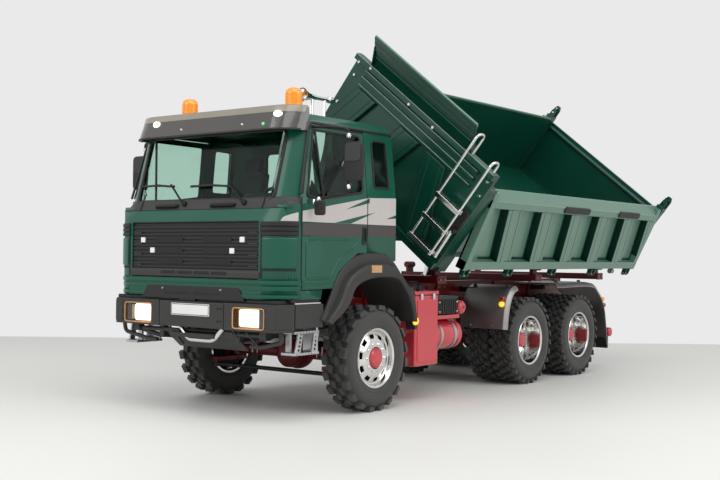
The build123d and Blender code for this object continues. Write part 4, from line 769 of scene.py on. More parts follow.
def front_patch(y, z, lift, depth=0.6, rounding=0.0):
    """Flat raised patch on the front skin: (low, high) spans across and up."""
    corners = [(y[0], z[0]), (y[1], z[0]), (y[1], z[1]), (y[0], z[1])]
    if rounding:
        corners = rounded(corners[0], corners[2], rounding, 4)
    points, faces = prism("x", corners, (lift - depth, lift))
    return [Vector((p.x + cab_front(p.z), p.y, p.z)) for p in points], faces


def side_patch(corners, lift, depth=0.3):
    """Flat patch on the upright left side skin from (x, z) corners."""
    return prism("y", corners, (CAB_SIDE + lift - depth, CAB_SIDE + lift))


def side_bead(corners, radius, lift=0.0, rounding=3.0, closed=True, sides=8):
    """Raised bead or seal along (x, z) corners on the left side skin."""
    path = round_corners([(x, z, 0) for x, z in corners], rounding, 5, closed)
    return tube([(p.x, cab_side(p.y) + lift, p.y) for p in path], radius, sides, closed)


def on_side(shape, sign):
    return shape if sign > 0 else mirrored(shape)


def cut_span(corners, low, high):
    """Part of a convex (x, z) outline between two places along the truck."""
    result = corners
    for limit, keep in ((low, 1), (high, -1)):
        kept = []
        for (x1, z1), (x2, z2) in zip(result, result[1:] + result[:1]):
            inside1, inside2 = keep * (x1 - limit) >= 0, keep * (x2 - limit) >= 0
            if inside1:
                kept.append((x1, z1))
            if inside1 != inside2:
                kept.append((limit, z1 + (z2 - z1) * (limit - x1) / (x2 - x1)))
        result = kept
    return result


# Cowl, wipers and grab handles below the windscreen
cowl = [(-0.8, 145.0), (0.7, 145.3), (1.2, 148.0), (1.0, 151.6), (0.3, 152.8), (-0.8, 153.2)]
piece("cowl_panel", round_front(cowl, 64), charcoal_abs, bevel=0.25)
piece("cowl_seams", both(front_patch((60.6, 61.1), (145.2, 152.6), 1.25, 0.5)), gap_and_shade_black)
# Each grab handle: its two ends across the cab
for index, (first, last) in enumerate(((-44.7, -22.0), (11.2, 34.6))):
    grip = [(98.8, first, 148.2), (101.2, first + 1.0, 148.0), (101.2, last - 1.0, 148.0),
            (98.8, last, 148.2)]
    piece(f"cowl_handle_{index}", tube(round_corners(grip, 1.5), 0.95), black_steel)
    # Black hollow behind the handle: painted shade
    hollow = front_patch((first - 0.8, last + 0.8), (146.5, 149.4), 1.35, 0.4, 1.2)
    piece(f"cowl_hollow_{index}", hollow, gap_and_shade_black)
# Each wiper: spindle, arm's end, blade's two ends, across the cab and up
WIPERS = (((-15.8, 149.4), (-33.7, 164.0), (-65.0, 163.4), (-31.0, 162.4)),
          ((42.8, 149.4), (25.3, 162.6), (-13.5, 162.0), (28.0, 161.0)))


def off_glass(spot, lift):
    return Vector((cab_front(spot[1]) + lift, *spot))


for index, (spindle, end, tip, heel) in enumerate(WIPERS):
    arm = tube([off_glass(spindle, 1.6), off_glass(spindle, 3.0), off_glass(end, 2.2)], 0.75)
    boss = lathe([(-1.5, 2.0), (1.2, 2.0), (1.9, 1.3), (1.9, 0.2)], "x", off_glass(spindle, 1.2), 16)
    piece(f"wiper_arm_{index}", merged(arm, boss), black_steel)
    middle = ((tip[0] + heel[0]) / 2, (tip[1] + heel[1]) / 2 + 1.0)
    spine = tube([off_glass(tip, 1.2), off_glass(middle, 2.0), off_glass(heel, 1.2)], 0.8)
    rubber = swept([[off_glass(spot, 0.5), off_glass(spot, 1.4), off_glass((spot[0], spot[1] + 1.1), 1.4),
                     off_glass((spot[0], spot[1] + 1.1), 0.5)] for spot in (tip, heel)])
    piece(f"wiper_blade_{index}", merged(spine, rubber), seal_rubber)

# Windscreen seal and the flap's shut lines
seal_path = rounded((-68, 150), (68, 199.6), 6, 6)
piece("windscreen_seal", tube([(cab_front(z) - 0.1, y, z) for y, z in seal_path], 1.15, 8, True), seal_rubber)
piece("flap_seams", both(front_patch((62.2, 62.7), (136.2, 145.4), 0.12, 0.5)), gap_and_shade_black)
piece("flap_seam_low", front_patch((-62.5, 62.5), (135.9, 136.5), 0.12, 0.5), gap_and_shade_black)

# Grille: plate, fine ribs, slots, and the lip below
GRILLE_HALF = 62.8
plate = box((101.2, 104.6), (-GRILLE_HALF, GRILLE_HALF), (97.2, 135.8))
piece("grille_plate", plate, black_abs, bevel=0.25, replaces=("grille",))
# Rows of ribs: count, first rib's middle, pitch, bar size
slat_rows("grille_ribs", ((12, (104.9, 0, 104.6), (0, 0, 2.55), (1.3, 2 * GRILLE_HALF - 1, 1.5)),),
          black_abs, bevel=0.2)
# Ends in charcoal, lighter than the black ribs, for the light dashes at the ribs' ends: painted highlight
slat_rows("grille_end_highlights", ((4, (105.3, 57.5, 105.8), (0, 0, 7.65), (1.0, 8.0, 1.0)),
                          (4, (105.3, -57.5, 105.8), (0, 0, 7.65), (1.0, 8.0, 1.0))), charcoal_abs, bevel=0.2)
# Black plates in the grille's slots: painted shade
slots = [(y, z) for z in (123.7, 116.0, 108.4) for y in ((-37.5, -10.0), (10.0, 37.5))]
piece("grille_slots", merged(*[box((104.0, 105.72), y, (z - 1.6, z + 1.6)) for y, z in slots]), gap_and_shade_black)
marks = ((-51.6, 123.6), (-41.6, 116.2), (47.7, 123.9), (38.2, 116.2))
squares = [box((104.5, 106.2), (y - 2.2, y + 2.2), (z - 1.9, z + 1.9)) for y, z in marks]
piece("grille_reflectors", merged(*squares), clear_lens, bevel=0.4)
lip = [(101.5, 97.4), (105.9, 97.4), (106.6, 98.2), (106.6, 101.6), (105.4, 103.4), (101.5, 103.4)]
piece("grille_lip", prism("y", lip, (-64.2, 64.2)), charcoal_abs, bevel=0.4)
# Black plates in the lip's slots: painted shade
slots = [(first, first + 14.6) for first in (-31.5, -14.6, 2.3, 19.2)]
piece("lip_slots", merged(*[box((105.5, 106.72), span, (99.6, 101.8)) for span in slots]), gap_and_shade_black)

# Painted steps under the grille and the black valance with its slots
for index, (low, high, lift) in enumerate(((93.6, 96.8, 0.8), (89.6, 93.0, 0.4), (84.4, 87.2, 0.5))):
    step = [(-0.5, low), (lift, low + 0.4), (lift, high - 0.4), (-0.5, high)]
    piece(f"front_step_{index}", round_front(step, 80), green_enamel, bevel=0.15)
valance = [(-51.0, 82.2), (-45.5, 91.2), (45.5, 91.2), (51.0, 82.2)]
piece("valance", prism("x", valance, (100.0, 106.9)), black_abs, bevel=0.4)
# Black plates in the valance's slots: painted shade
slots = [box((106.0, 107.0), y, (85.4, 87.0)) for y in ((-27.5, -2.5), (2.5, 27.5))]
piece("valance_slots", merged(*slots), gap_and_shade_black)
fasteners("valance_screws", [((106.95, y, 89.2), (1, 0, 0)) for y in (-29, 29)], 0.9, 0.6, zinc)

# Corner deflectors: rounded painted panels below a ribbed black band
deflector = [(-0.5, 104.6), (0.6, 104.8), (1.1, 105.8), (1.1, 124.2), (0.6, 125.4), (-0.5, 125.6)]
piece("corner_deflectors", both(round_corner(deflector, 6, 74)), green_enamel, bevel=0.3)
ribs = [(-0.5, 126.3), (0.4, 126.4)]
for z in (126.6, 129.8, 133.0):
    ribs += [(1.3, z + 0.2), (1.3, z + 2.3), (0.6, z + 2.6), (0.6, z + 3.0)]
ribs += [(-0.5, 136.0)]
piece("corner_bands", both(round_corner(ribs, 1.5, 78)), black_abs, bevel=0.1)
# Black strips in the corner gaps and under the deflectors: painted shade
gap = [(-0.5, 97.5), (0.12, 97.5), (0.12, 126.2), (-0.5, 126.2)]
piece("corner_gaps", both(round_corner(gap, 0.5, 5.6, 3)), gap_and_shade_black)
shadow = [(-0.5, 102.9), (0.3, 103.0), (0.3, 104.2), (-0.5, 104.3)]
piece("corner_shadow", both(round_corner(shadow, 4, 74)), gap_and_shade_black)

# Films on the sides: pale flash with three green slashes, charcoal band below it
FLASH = [(88.0, 136.4), (88.0, 143.2), (12.5, 155.6), (-20.6, 156.8), (-20.6, 136.4)]
BAND = [(87.9, 127.0), (87.9, 135.6), (-20.6, 136.0), (-20.6, 127.8)]
SLASHES = ([(40.0, 146.2), (12.0, 155.3), (12.0, 152.0)], [(52.0, 136.5), (5.0, 145.4), (34.0, 136.5)],
           [(-8.5, 141.0), (-20.6, 144.2), (-20.6, 141.8)])
# Part of the side: body, span along the cab
SKINS = (("chassis", (-20.8, 13.6)), ("left_door", DOOR_SPAN), ("right_door", DOOR_SPAN))
for body, (low, high) in SKINS:
    flash = side_patch(cut_span(FLASH, low, high), 0.12, 0.6)
    band = side_patch(cut_span(BAND, low, high), 0.14)
    slashes = [cut_span(corners, low, high) for corners in SLASHES]
    slashes = merged(*[side_patch(corners, 0.2, 0.5) for corners in slashes if len(corners) > 2])
    films = (("flash", flash, pale_film), ("band", band, dark_film), ("slash", slashes, green_enamel))
    for label, shape, film in films:
        made = both(shape) if body == "chassis" else on_side(shape, DOORS[body])
        piece(f"{body}_{label}", made, film, body)
tip = []
for step in range(9):
    turn = 42 + 36 * step / 8
    top = 137.0 + 5.4 * (step / 8) ** 0.5
    film = ((-0.2, 136.4), (0.14, 136.4), (0.14, top), (-0.2, top))
    tip.append([corner_point(turn, lift, z) for lift, z in film])
piece("flash_tips", both(swept(tip)), pale_film)

# Doors: skirt by the arch, pressed panel, sill steps, handle, window rubber and divider
SKIRT = [(66.0, 90.8), (61.0, 111.5), (30.5, 111.5), (46.3, 102.8), (53.2, 91.0)]
PRESSING = [(82.4, 124.8), (24.0, 124.8), (32.0, 118.5), (46.0, 112.0), (57.0, 98.0), (82.4, 98.0)]
WINDOW = [(81.6, 153.4), (71.0, 199.6), (19.4, 199.6), (19.4, 159.2), (61.0, 153.4)]


def door_piece(door, name, shape, material, bevel=0.0, replaces=()):
    """Piece drawn on the left door, put on either."""
    piece(f"{door}_{name}", on_side(shape, DOORS[door]), material, door, bevel=bevel, replaces=replaces)


for door in DOORS:
    door_piece(door, "skirt", side_patch(SKIRT, -0.02, 1.6), green_enamel)
    door_piece(door, "pressing", side_bead(PRESSING, 0.6, -0.1, 4.0), green_enamel)
    sill = [side_patch([(85.8, low), (85.8, low + 1.8), (reach, low + 1.8), (reach + 1, low)], 0.5, 1.0)
            for low, reach in ((91.6, 54.5), (94.8, 52.5))]
    door_piece(door, "sill_steps", merged(*sill), green_enamel, 0.25)
    door_piece(door, "window_rubber", side_bead(WINDOW, 0.9, 0.0, 3.0), seal_rubber)
    door_piece(door, "window_divider", side_bead([(64.6, 154.0), (69.0, 199.4)], 0.9, -0.1, closed=False),
               seal_rubber)
    rail = [(86.4, 155), (74.2, 202.4), (14.6, 202.4)]
    door_piece(door, "drip_rail", side_bead(rail, 0.55, 0.1, 4.0, False), seal_rubber)
    case = rounded((14.9, 121.6), (20.6, 134.4), 1.2, 3)
    door_piece(door, "handle_case", side_patch(case, 0.5, 1.0), black_abs, 0.2)
    # Black hollow behind the grip: painted shade
    hollow = [(16.2, 124.4), (19.6, 124.4), (19.6, 132.8), (16.2, 132.8)]
    door_piece(door, "handle_hollow", side_patch(hollow, 0.56, 0.5), gap_and_shade_black)
    door_piece(door, "handle_grip", side_bead([(17.2, 124.2), (17.2, 133.0)], 0.75, 0.9, closed=False),
               black_steel)
QUARTER = [(-13.4, 163.4), (5.4, 163.4), (5.4, 198.0), (-12.4, 198.0)]
piece("quarter_rubbers", both(side_bead(QUARTER, 0.85, 0.0, 3.0)), seal_rubber)
piece("side_gaps", both(side_patch([(86.6, 97.0), (87.4, 97.0), (87.4, 153.0), (86.6, 153.0)], 0.1)),
      gap_and_shade_black)
gutter = side_bead([(88.6, 155.0), (75.4, 204.4), (-19.5, 204.4)], 0.9, 0.5, 5.0, False)
piece("roof_gutters", both(gutter), seal_rubber)
rear_rubber = rounded((-45, 160), (45, 196), 4)
piece("rear_rubber", tube([(CAB_REAR, y, z) for y, z in rear_rubber], 1.0, 8, True), seal_rubber)

# Bumper: middle panel, two ends round the lamps, side pieces, blank plate
LAMP_Y, LAMP_Z = (40.6, 69.4), (63.8, 77.8)
FACE = 107.0
bumper = [(96, 62.3), (106.4, 62.3), (FACE, 63), (FACE, 79.8), (106.2, 80.7), (96, 80.7)]
piece("bumper_middle", prism("y", bumper, (-32, 32)), charcoal_abs, bevel=0.5, replaces=("front_bumper",))
bumper_end = [(96.0, 32.4), (FACE, 32.4), (FACE, 79.0), (95.0, 84.4), (93.0, 84.4), (93.0, 76.0),
              (96.0, 74.0)]
rims = [prism("z", bumper_end, span) for span in ((62.2, LAMP_Z[0]), (LAMP_Z[1], 80.8))]
inner_post = box((98.5, FACE - 0.02), (32.4, LAMP_Y[0]), (LAMP_Z[0] - 0.5, LAMP_Z[1] + 0.5))
outer_post = prism("z", [(100.0, LAMP_Y[1]), (FACE - 0.02, LAMP_Y[1]), (FACE - 0.02, 78.98), (95.0, 84.38),
                         (93.0, 84.38), (93.0, 76.0)], (LAMP_Z[0] - 0.5, LAMP_Z[1] + 0.5))
piece("bumper_ends", both(merged(*rims, inner_post, outer_post)), charcoal_abs, bevel=0.35)
pad = [(107.0, 71.4), (107.5, 72.0), (107.3, 79.2), (95.2, 84.9), (93.6, 84.7)]
piece("bumper_corner_pads", both(prism("z", pad, (64.2, 79.4))), charcoal_abs, bevel=0.4)
piece("bumper_sides", both(box((63.0, 92.2), (80.6, 84.4), (64.6, 80.8))), charcoal_abs, bevel=0.5)
piece("bumper_side_trim", both(box((66.0, 93.0), (82.0, 84.6), (80.9, 81.9))), chrome, bevel=0.25)
piece("bumper_brackets", both(box((78.0, 97.0), (30.0, 34.0), (64.0, 78.0))), black_steel, bevel=0.25)
piece("bumper_shelf", box((94.0, 104.5), (-80.0, 80.0), (80.7, 83.4)), black_abs, bevel=0.5)
piece("sill_trim", both(box((66.0, 95.0), (78.0, 83.4), (81.9, 84.2))), black_abs, bevel=0.3)
piece("blank_plate", front_patch((-19.2, 18.6), (70.6, 79.0), 1.5, 0.6, 0.8), white_enamel)
border = rounded((-18.6, 71.2), (18.0, 78.4), 0.8, 3)
piece("plate_border", tube([(107.5, y, z) for y, z in border], 0.22, 6, True), dark_film)
screws = [((FACE, y, z), (1, 0, 0)) for y in (26.5, 29.5) for z in (67.6, 76.4)]
fasteners("bumper_screws", screws, 0.7, 0.5, black_steel)
piece("tow_pin_cover", prism("x", [(-12.0, 81.0), (4.0, 81.0), (2.5, 84.0), (-10.5, 84.0)], (103.0, 106.6)),
      black_abs, bevel=0.4)

# Headlamps: lit lens set back in a bucket whose walls glow, dark outer lens, thin bright frame
bucket_points, bucket_faces = box((101.0, FACE), LAMP_Y, LAMP_Z)
open_front = [face for face in bucket_faces if any(bucket_points[index].x < FACE - 1 for index in face)]
piece("lamp_buckets", both((bucket_points, open_front)), lamp_warm, replaces=("headlamps",))
lens = rounded((43.6, 65.0), (62.4, 76.6), 2.2)
piece("lamp_lenses", both(prism("x", lens, (101.6, 103.6))), lamp_glow, bevel=0.6)
dark_part = rounded((63.4, 64.2), (69.2, 77.4), 1.2, 4)
piece("lamp_outer_lenses", both(prism("x", dark_part, (101.4, 105.6))), smoked, bevel=0.6)
frame_path = rounded((LAMP_Y[0], LAMP_Z[0]), (LAMP_Y[1], LAMP_Z[1]), 2.6)
piece("lamp_frames", both(tube([(106.9, y, z) for y, z in frame_path], 0.4, 8, True)), lamp_warm)
bars = [box((106.2, 107.3), (70.2, 78.0), (z, z + 0.7)) for z in (65.0, 70.4, 76.0)]
piece("lamp_guard_bars", both(merged(*bars)), black_steel, bevel=0.2)

# Lower guard: bright bow, slanted bars and a loop at each side
bow = round_corners([(101.5, -15.5, 62.5), (101.5, -7.5, 53.6), (101.5, 17.5, 53.6), (101.5, 26.5, 62.5)],
                    4.0, 5)
piece("towing_bow", tube(bow, 1.7, 12), polished)
# Slanted bars: upper end, lower end, each across the cab and up
GUARD_BARS = (((34.7, 61.6), (42.5, 50.0)), ((47.3, 61.4), (54.8, 51.6)), ((-28.0, 61.6), (-18.0, 49.0)))
for index, (start, end) in enumerate(GUARD_BARS):
    piece(f"guard_bar_{index}", tube([(100.5, *start), (96.0, *end)], 0.9, 10), charcoal_abs)
for sign in (1, -1):
    loop = round_corners([(99.5, sign * 78.0, 62.0), (98.0, sign * 78.5, 55.6), (95.0, sign * 57.0, 51.0),
                          (95.0, sign * 47.0, 51.0)], 4.0, 5)
    piece(f"guard_loop_{sign + 1}", tube(loop, 1.5, 12), charcoal_abs)

# Cab steps: perforated hangers and treads
HANGER_XS, HANGER_LEAN = (83.0, 66.5), 3.0
hangers = [prism("y", [(x, 62.5), (x + 5.0, 62.5), (x + 5.0 + HANGER_LEAN, 47.0), (x + HANGER_LEAN, 47.0)],
                 (82.2, 83.8)) for x in HANGER_XS]
treads = [box((67.0, 92.5), (72.0, 84.2), (z, z + 1.8)) for z in (46.6, 61.0)]
stays = [box((68.0, 70.0), (72.0, 84.0), (46.8, 68.0)), box((86.0, 88.0), (72.0, 76.0), (46.8, 68.0)),
         box((66.0, 90.0), (30.0, 74.0), (64.0, 67.8))]
piece("step_frames", both(merged(*hangers, *treads, *stays)), brushed, bevel=0.3, replaces=("cab_steps",))
# Black discs standing for the steps' holes: painted shade
holes = []
for sign in (1, -1):
    for x in HANGER_XS:
        holes += [((x + 2.5 + HANGER_LEAN * k / 5, sign * 83.8, 61.0 - 2.7 * k), (0, sign, 0))
                  for k in range(6)]
    holes += [((70.0 + 3.0 * k, sign * (74.5 + 4.0 * row), 48.4), (0, 0, 1)) for k in range(8)
              for row in range(3)]
fasteners("step_holes", holes, 0.95, 0.12, gap_and_shade_black, crown=0.95)
lugs = [((69.0 + 3.0 * k, sign * 84.2, z + 0.9), (0, sign, 0)) for k in range(8) for z in (46.6, 61.0)
        for sign in (1, -1)]
fasteners("step_teeth", lugs, 0.7, 0.7, brushed, sides=4)

# Front arches: flange, two-step bulge, lip and liner, smooth along the wheel
ARCH_OUTER = ((66, 70), (57, 84), (46, 102), (24, 114.5), (-8, 114.5), (-27, 101), (-43, 82), (-47, 64))
ARCH_INNER = ((58, 66), (40, 78), (30, 92), (10, 98), (-14, 98), (-24, 94), (-36, 80), (-42, 64))
# Arch section: share of the way from the outer to the inner line, place across
ARCH_SECTION = ((0.0, 83.4), (0.0, 84.9), (0.03, 85.5), (0.3, 86.0), (0.36, 85.6), (0.4, 85.7),
                (0.44, 88.4), (0.5, 89.2), (0.62, 89.5), (0.94, 88.7), (1.0, 88.1), (1.03, 87.0),
                (1.03, 60.0), (1.03, 46.0), (0.95, 46.0), (0.95, 60.0), (0.9, 83.4))
outer_line = smooth_path([(x, z, 0) for x, z in ARCH_OUTER], 5)
inner_line = smooth_path([(x, z, 0) for x, z in ARCH_INNER], 5)
sections = []
for high, low in zip(outer_line, inner_line):
    spots = [(high + (low - high) * share, y) for share, y in ARCH_SECTION]
    sections.append([(spot.x, y, spot.y) for spot, y in spots])
stays = [box((-43, -40), (30, 48), (65, 70)), box((52, 57), (30, 48), (66, 70))]
piece("front_arches", both(merged(swept(sections), *stays)), charcoal_abs, replaces=("front_mudguards",))
piece("arch_markers", both(box((2.4, 14.8), (87.8, 89.7), (101.6, 107.0))), lamp_warm, bevel=0.5)
trail = round_corners([(-39.5, 90.0, 0), (-43.5, 82.0, 0), (-46.5, 58.0, 0)], 4.0)
piece("arch_tails", both(sheet("y", [(p.x, p.y) for p in trail], 3.4, (78.0, 86.6))), charcoal_abs, bevel=0.5)
lamps = lathe([(-2.0, 3.2), (0.4, 3.2), (1.6, 2.6), (2.4, 1.2), (2.5, 0.1)], "y", (-45.6, 86.0, 64.3), 24)
piece("arch_side_lamps", both(lamps), lit_amber)
seats = lathe([(-2.0, 3.9), (-0.6, 3.9), (-0.2, 3.3)], "y", (-45.6, 86.2, 64.0), 24)
piece("arch_lamp_seats", both(seats), black_abs)

# Visor: paler strip along its top, screws, lit lamps; beacons and horn on the roof
VISOR_LOW, VISOR_CORNER_Y = 198.5, 60.5


def visor_front(z):
    return 97.0 - 0.4 * (z - VISOR_LOW)


def visor_strip(profile, end=70):
    """Strip with a (lift, height) profile round the visor."""
    sections = []
    for sign, turns in ((-1, range(end, -1, -10)), (1, range(0, end + 1, 10))):
        for turn in turns:
            sections.append([(visor_front(z) - CAB_CORNER + (CAB_CORNER + lift) * cos(radians(turn)),
                              sign * (VISOR_CORNER_Y + (CAB_CORNER + lift) * sin(radians(turn))), z)
                             for lift, z in profile])
    return swept(sections)


piece("visor_top_strip", visor_strip([(-0.6, 210.8), (0.25, 211.0), (0.25, 215.6), (-0.6, 215.8)]),
      smoked_edge, bevel=0.2)
piece("visor_lip", visor_strip([(-0.8, 198.2), (0.5, 198.4), (0.5, 199.6), (-0.8, 199.8)]), black_abs,
      bevel=0.2)
for index, (y, z) in enumerate(((-53.2, 209.2), (66.0, 209.4))):
    spot = (visor_front(z) + 0.2 - (0.9 if y > VISOR_CORNER_Y else 0.0), y, z)
    oval = lathe([(-1.0, 3.0), (0.5, 3.0), (1.2, 2.2), (1.4, 0.2)], "x", (0, 0, 0), 24)
    oval = placed(oval, Matrix.Translation(spot) @ Matrix.Diagonal((1, 1.1, 0.72, 1)))
    piece(f"visor_lamp_{index}", oval, lamp_glow)
fasteners("visor_screws", [((visor_front(203.7) + 0.2, y, 203.7), (1, 0, 0.35)) for y in (-24.5, 36.0)],
          1.0, 0.6, chrome)
pilot = (visor_front(202.8), 56.1, 202.8)
piece("visor_pilot", lathe([(-0.5, 1.1), (0.5, 1.1), (1.0, 0.6), (1.1, 0.1)], "x", pilot, 16), green_lamp)
BEACON_X, BEACON_Y, BEACON_TOP = 60.0, 52.5, 232.4
base = lathe([(211.5, 6.6), (217.0, 6.6), (217.6, 6.3), (218.6, 6.3), (219.0, 5.4)], "z",
             (BEACON_X, BEACON_Y, 0), 32)
dome = [(218.4, 6.1), (219.2, 6.2)]
for z in range(220, 228):
    dome += [(z - 0.15, 6.25), (z + 0.1, 6.05), (z + 0.4, 6.05), (z + 0.65, 6.25)]
dome += [(228.4, 6.15), (230.2, 5.6), (231.6, 4.2), (BEACON_TOP, 1.8), (BEACON_TOP, 0.1)]
piece("beacon_bases", both(base), black_abs, replaces=("beacons",))
piece("beacon_lenses", both(lathe(dome, "z", (BEACON_X, BEACON_Y, 0), 36)), amber)
HORN = (0.0, 49.0, 229.0)
trumpet = [(11.5, 0.2), (11.5, 2.2), (13.5, 2.5), (17.0, 2.5), (17.8, 1.5), (30.0, 1.6), (38.0, 2.3),
           (43.0, 3.6), (46.0, 5.0), (47.0, 5.3), (46.6, 4.6), (42.0, 2.9), (40.0, 0.2)]
posts = [lathe([(211.0, 2.2), (212.8, 2.2), (213.4, 1.2), (229.0, 1.2)], "z", (x, 49.0, 0), 16)
         for x in (22.0, 36.0)]
piece("trumpet_horn", merged(lathe(trumpet, "x", HORN, 32), *posts), chrome, replaces=("air_horn",))

# Bed, drawn lowered: headboard with pressed rails, bolts and the folded spill sheet
BOARD_FACE = BED_FRONT
BOARD_FOOT = BED_SILL - 8.0
BOARD_BACK = BED_FRONT - 4.0


def bed_piece(name, shape, material, bevel=0.0, replaces=()):
    return piece(name, shape, material, "bed", BED, bevel, replaces)


board = box((BOARD_BACK, BOARD_FACE), (-BED_HALF, BED_HALF), (BOARD_FOOT, HEADBOARD_TOP - 0.2))
posts = both(box((BOARD_BACK - 12.0, BOARD_BACK), (BED_HALF - WALL_THICK, BED_HALF),
                 (BED_SILL - 6.0, WALL_TOP + 2.0)))
foot = box((BOARD_BACK, BOARD_FACE + 4.0), (-BED_HALF, BED_HALF), (BOARD_FOOT, BED_SILL - 2.0))
bed_piece("headboard_plate", merged(board, posts, foot), bed_enamel, 0.4, ("bed_headboard",))
# Pressed rail along the top: ridges given as (low, high, how far forward)
RIDGES = ((184.0, 186.2, 1.6), (190.4, 193.0, 2.6), (196.2, 199.0, 2.6), (200.8, 205.7, 5.0))
for index, (low, high, reach) in enumerate(RIDGES):
    outline = [(BOARD_FACE - 1.0, low - 0.8), (BOARD_FACE + reach, low), (BOARD_FACE + reach, high),
               (BOARD_FACE - 1.0, high + 0.4)]
    half = BED_HALF - (0.0 if index == 3 else 15.0)
    bed_piece(f"headboard_ridge_{index}", prism("y", outline, (-half, half)), bed_enamel, 0.3)
    # Pale bead along each ridge's top: painted highlight
    bright = tube([(BOARD_FACE + reach, -half, high - 0.3), (BOARD_FACE + reach, half, high - 0.3)], 0.35, 6)
    bed_piece(f"headboard_edge_{index}", bright, rim_painted_highlight)
# Slanted ribs: middle, slant in degrees; each a flat with two creases
BOARD_RIBS = ((-66.5, 20.0), (-11.2, 20.0), (44.1, -20.0))
RIB_LOW, RIB_HIGH = BED_SILL - 2.0, 183.4


def leaning(middle, slant, left, right):
    """Outline of a slanted strip on the headboard, between two places off its middle line."""
    lean = tan(radians(slant)) * (RIB_HIGH - RIB_LOW) / 2
    return [(middle - lean + left, RIB_LOW), (middle - lean + right, RIB_LOW),
            (middle + lean + right, RIB_HIGH), (middle + lean + left, RIB_HIGH)]


for index, (middle, slant) in enumerate(BOARD_RIBS):
    flat = prism("x", leaning(middle, slant, -11.5, 11.5), (BOARD_FACE - 1.0, BOARD_FACE + 3.0))
    bed_piece(f"headboard_rib_{index}", flat, bed_enamel, 0.7)
    creases = [prism("x", leaning(middle, slant, at - 0.7, at + 0.7), (BOARD_FACE + 2.6, BOARD_FACE + 3.3))
               for at in (-6.5, 6.5)]
    bed_piece(f"headboard_creases_{index}", merged(*creases), bed_enamel, 0.3)
    # Black lines along each rib's sides: painted shade
    gaps = [prism("x", leaning(middle, slant, at - 0.5, at + 0.5), (BOARD_FACE - 0.3, BOARD_FACE + 0.1))
            for at in (-13.0, 13.0)]
    bed_piece(f"headboard_gaps_{index}", merged(*gaps), gap_and_shade_black)
BOLTS = ((-77, 201), (-63.5, 203.6), (-13.7, 202.7), (16.3, 201.7), (66.4, 200.7), (79.8, 197),
         (80.6, 184.5), (-78, 188.7), (79.3, 161.5), (-79, 161.5), (79.3, 140.0), (-79, 140.0))
spots = [((BOARD_FACE + (5.0 if z > 200.7 else 0.0) + 0.3, y, z), (1, 0, 0)) for y, z in BOLTS]
fasteners("headboard_bolts", spots, 1.5, 0.9, chrome, "bed", BED, 0.75, 14)
spill = [(-70.0, 204.7), (-69.0, 209.7), (-52.6, 229.0)]
bed_piece("spill_sheet", sheet("y", spill, 1.6, (-69.0, 53.4)), bed_enamel, 0.3)
creased = [(-66.0, 213.2, 0.7), (-61.0, 219.1, 0.7), (-56.6, 224.3, 0.6)]
creases = [tube([(x + 0.8, -68.6, z - 0.2), (x + 0.8, 53.0, z - 0.2)], r, 8) for x, z, r in creased]
bed_piece("spill_creases", merged(*creases), bed_enamel)
# Fold in the pale rim colour: painted highlight
fold = [(-53.8, 227.2), (-51.8, 229.6), (-53.2, 230.4), (-56.2, 227.4)]
bed_piece("spill_fold", prism("y", fold, (-69.0, 53.4)), rim_painted_highlight, 0.3)
gussets = [prism("y", [(-69.6, 205.4), (-67.2, 205.4), (-58.0, 220.6), (-60.0, 221.0), (-68.8, 209.8)],
                 (y, y + 1.2)) for y in (-68.9, 52.2)]
bed_piece("spill_gussets", merged(*gussets), bed_enamel, 0.2)

# Ladder: bent silver tubes with hand hoops, three perforated treads
LADDER_X = BED_FRONT + 12.0
tubes, feet = [], []
for y, top in ((57.0, 223.7), (80.5, 214.7)):
    hoop = [(LADDER_X, y, 126.4), (LADDER_X, y, top), (BED_FRONT + 2.2, y, top), (BED_FRONT + 2.2, y, 204.0)]
    tubes.append(tube(round_corners(hoop, 4.5, 6), 1.05, 12))
    feet.append(tube([(BED_FRONT - 0.5, y, 128.4), (LADDER_X, y, 128.4)], 1.1, 10))
bed_piece("ladder_tubes", merged(*tubes, *feet), polished, 0.0, ("bed_ladder",))
TREADS = (129.4, 148.9, 168.4)
channel = [(-3.6, -2.6), (-2.6, -2.6), (-2.6, 0.2), (2.6, 0.2), (2.6, -2.6), (3.6, -2.6), (3.6, 1.2),
           (-3.6, 1.2)]
steps = [prism("y", [(LADDER_X + x, z + up) for x, up in channel], (56.2, 81.3)) for z in TREADS]
bed_piece("ladder_treads", merged(*steps), polished, 0.25)
# Black discs standing for the treads' holes: painted shade
holes = [((LADDER_X + x, 59.5 + 2.6 * k, z + 1.22), (0, 0, 1)) for z in TREADS for k in range(8)
         for x in (-1.8, 1.0)]
fasteners("ladder_holes", holes, 0.8, 0.12, gap_and_shade_black, "bed", BED, 0.95, 10)

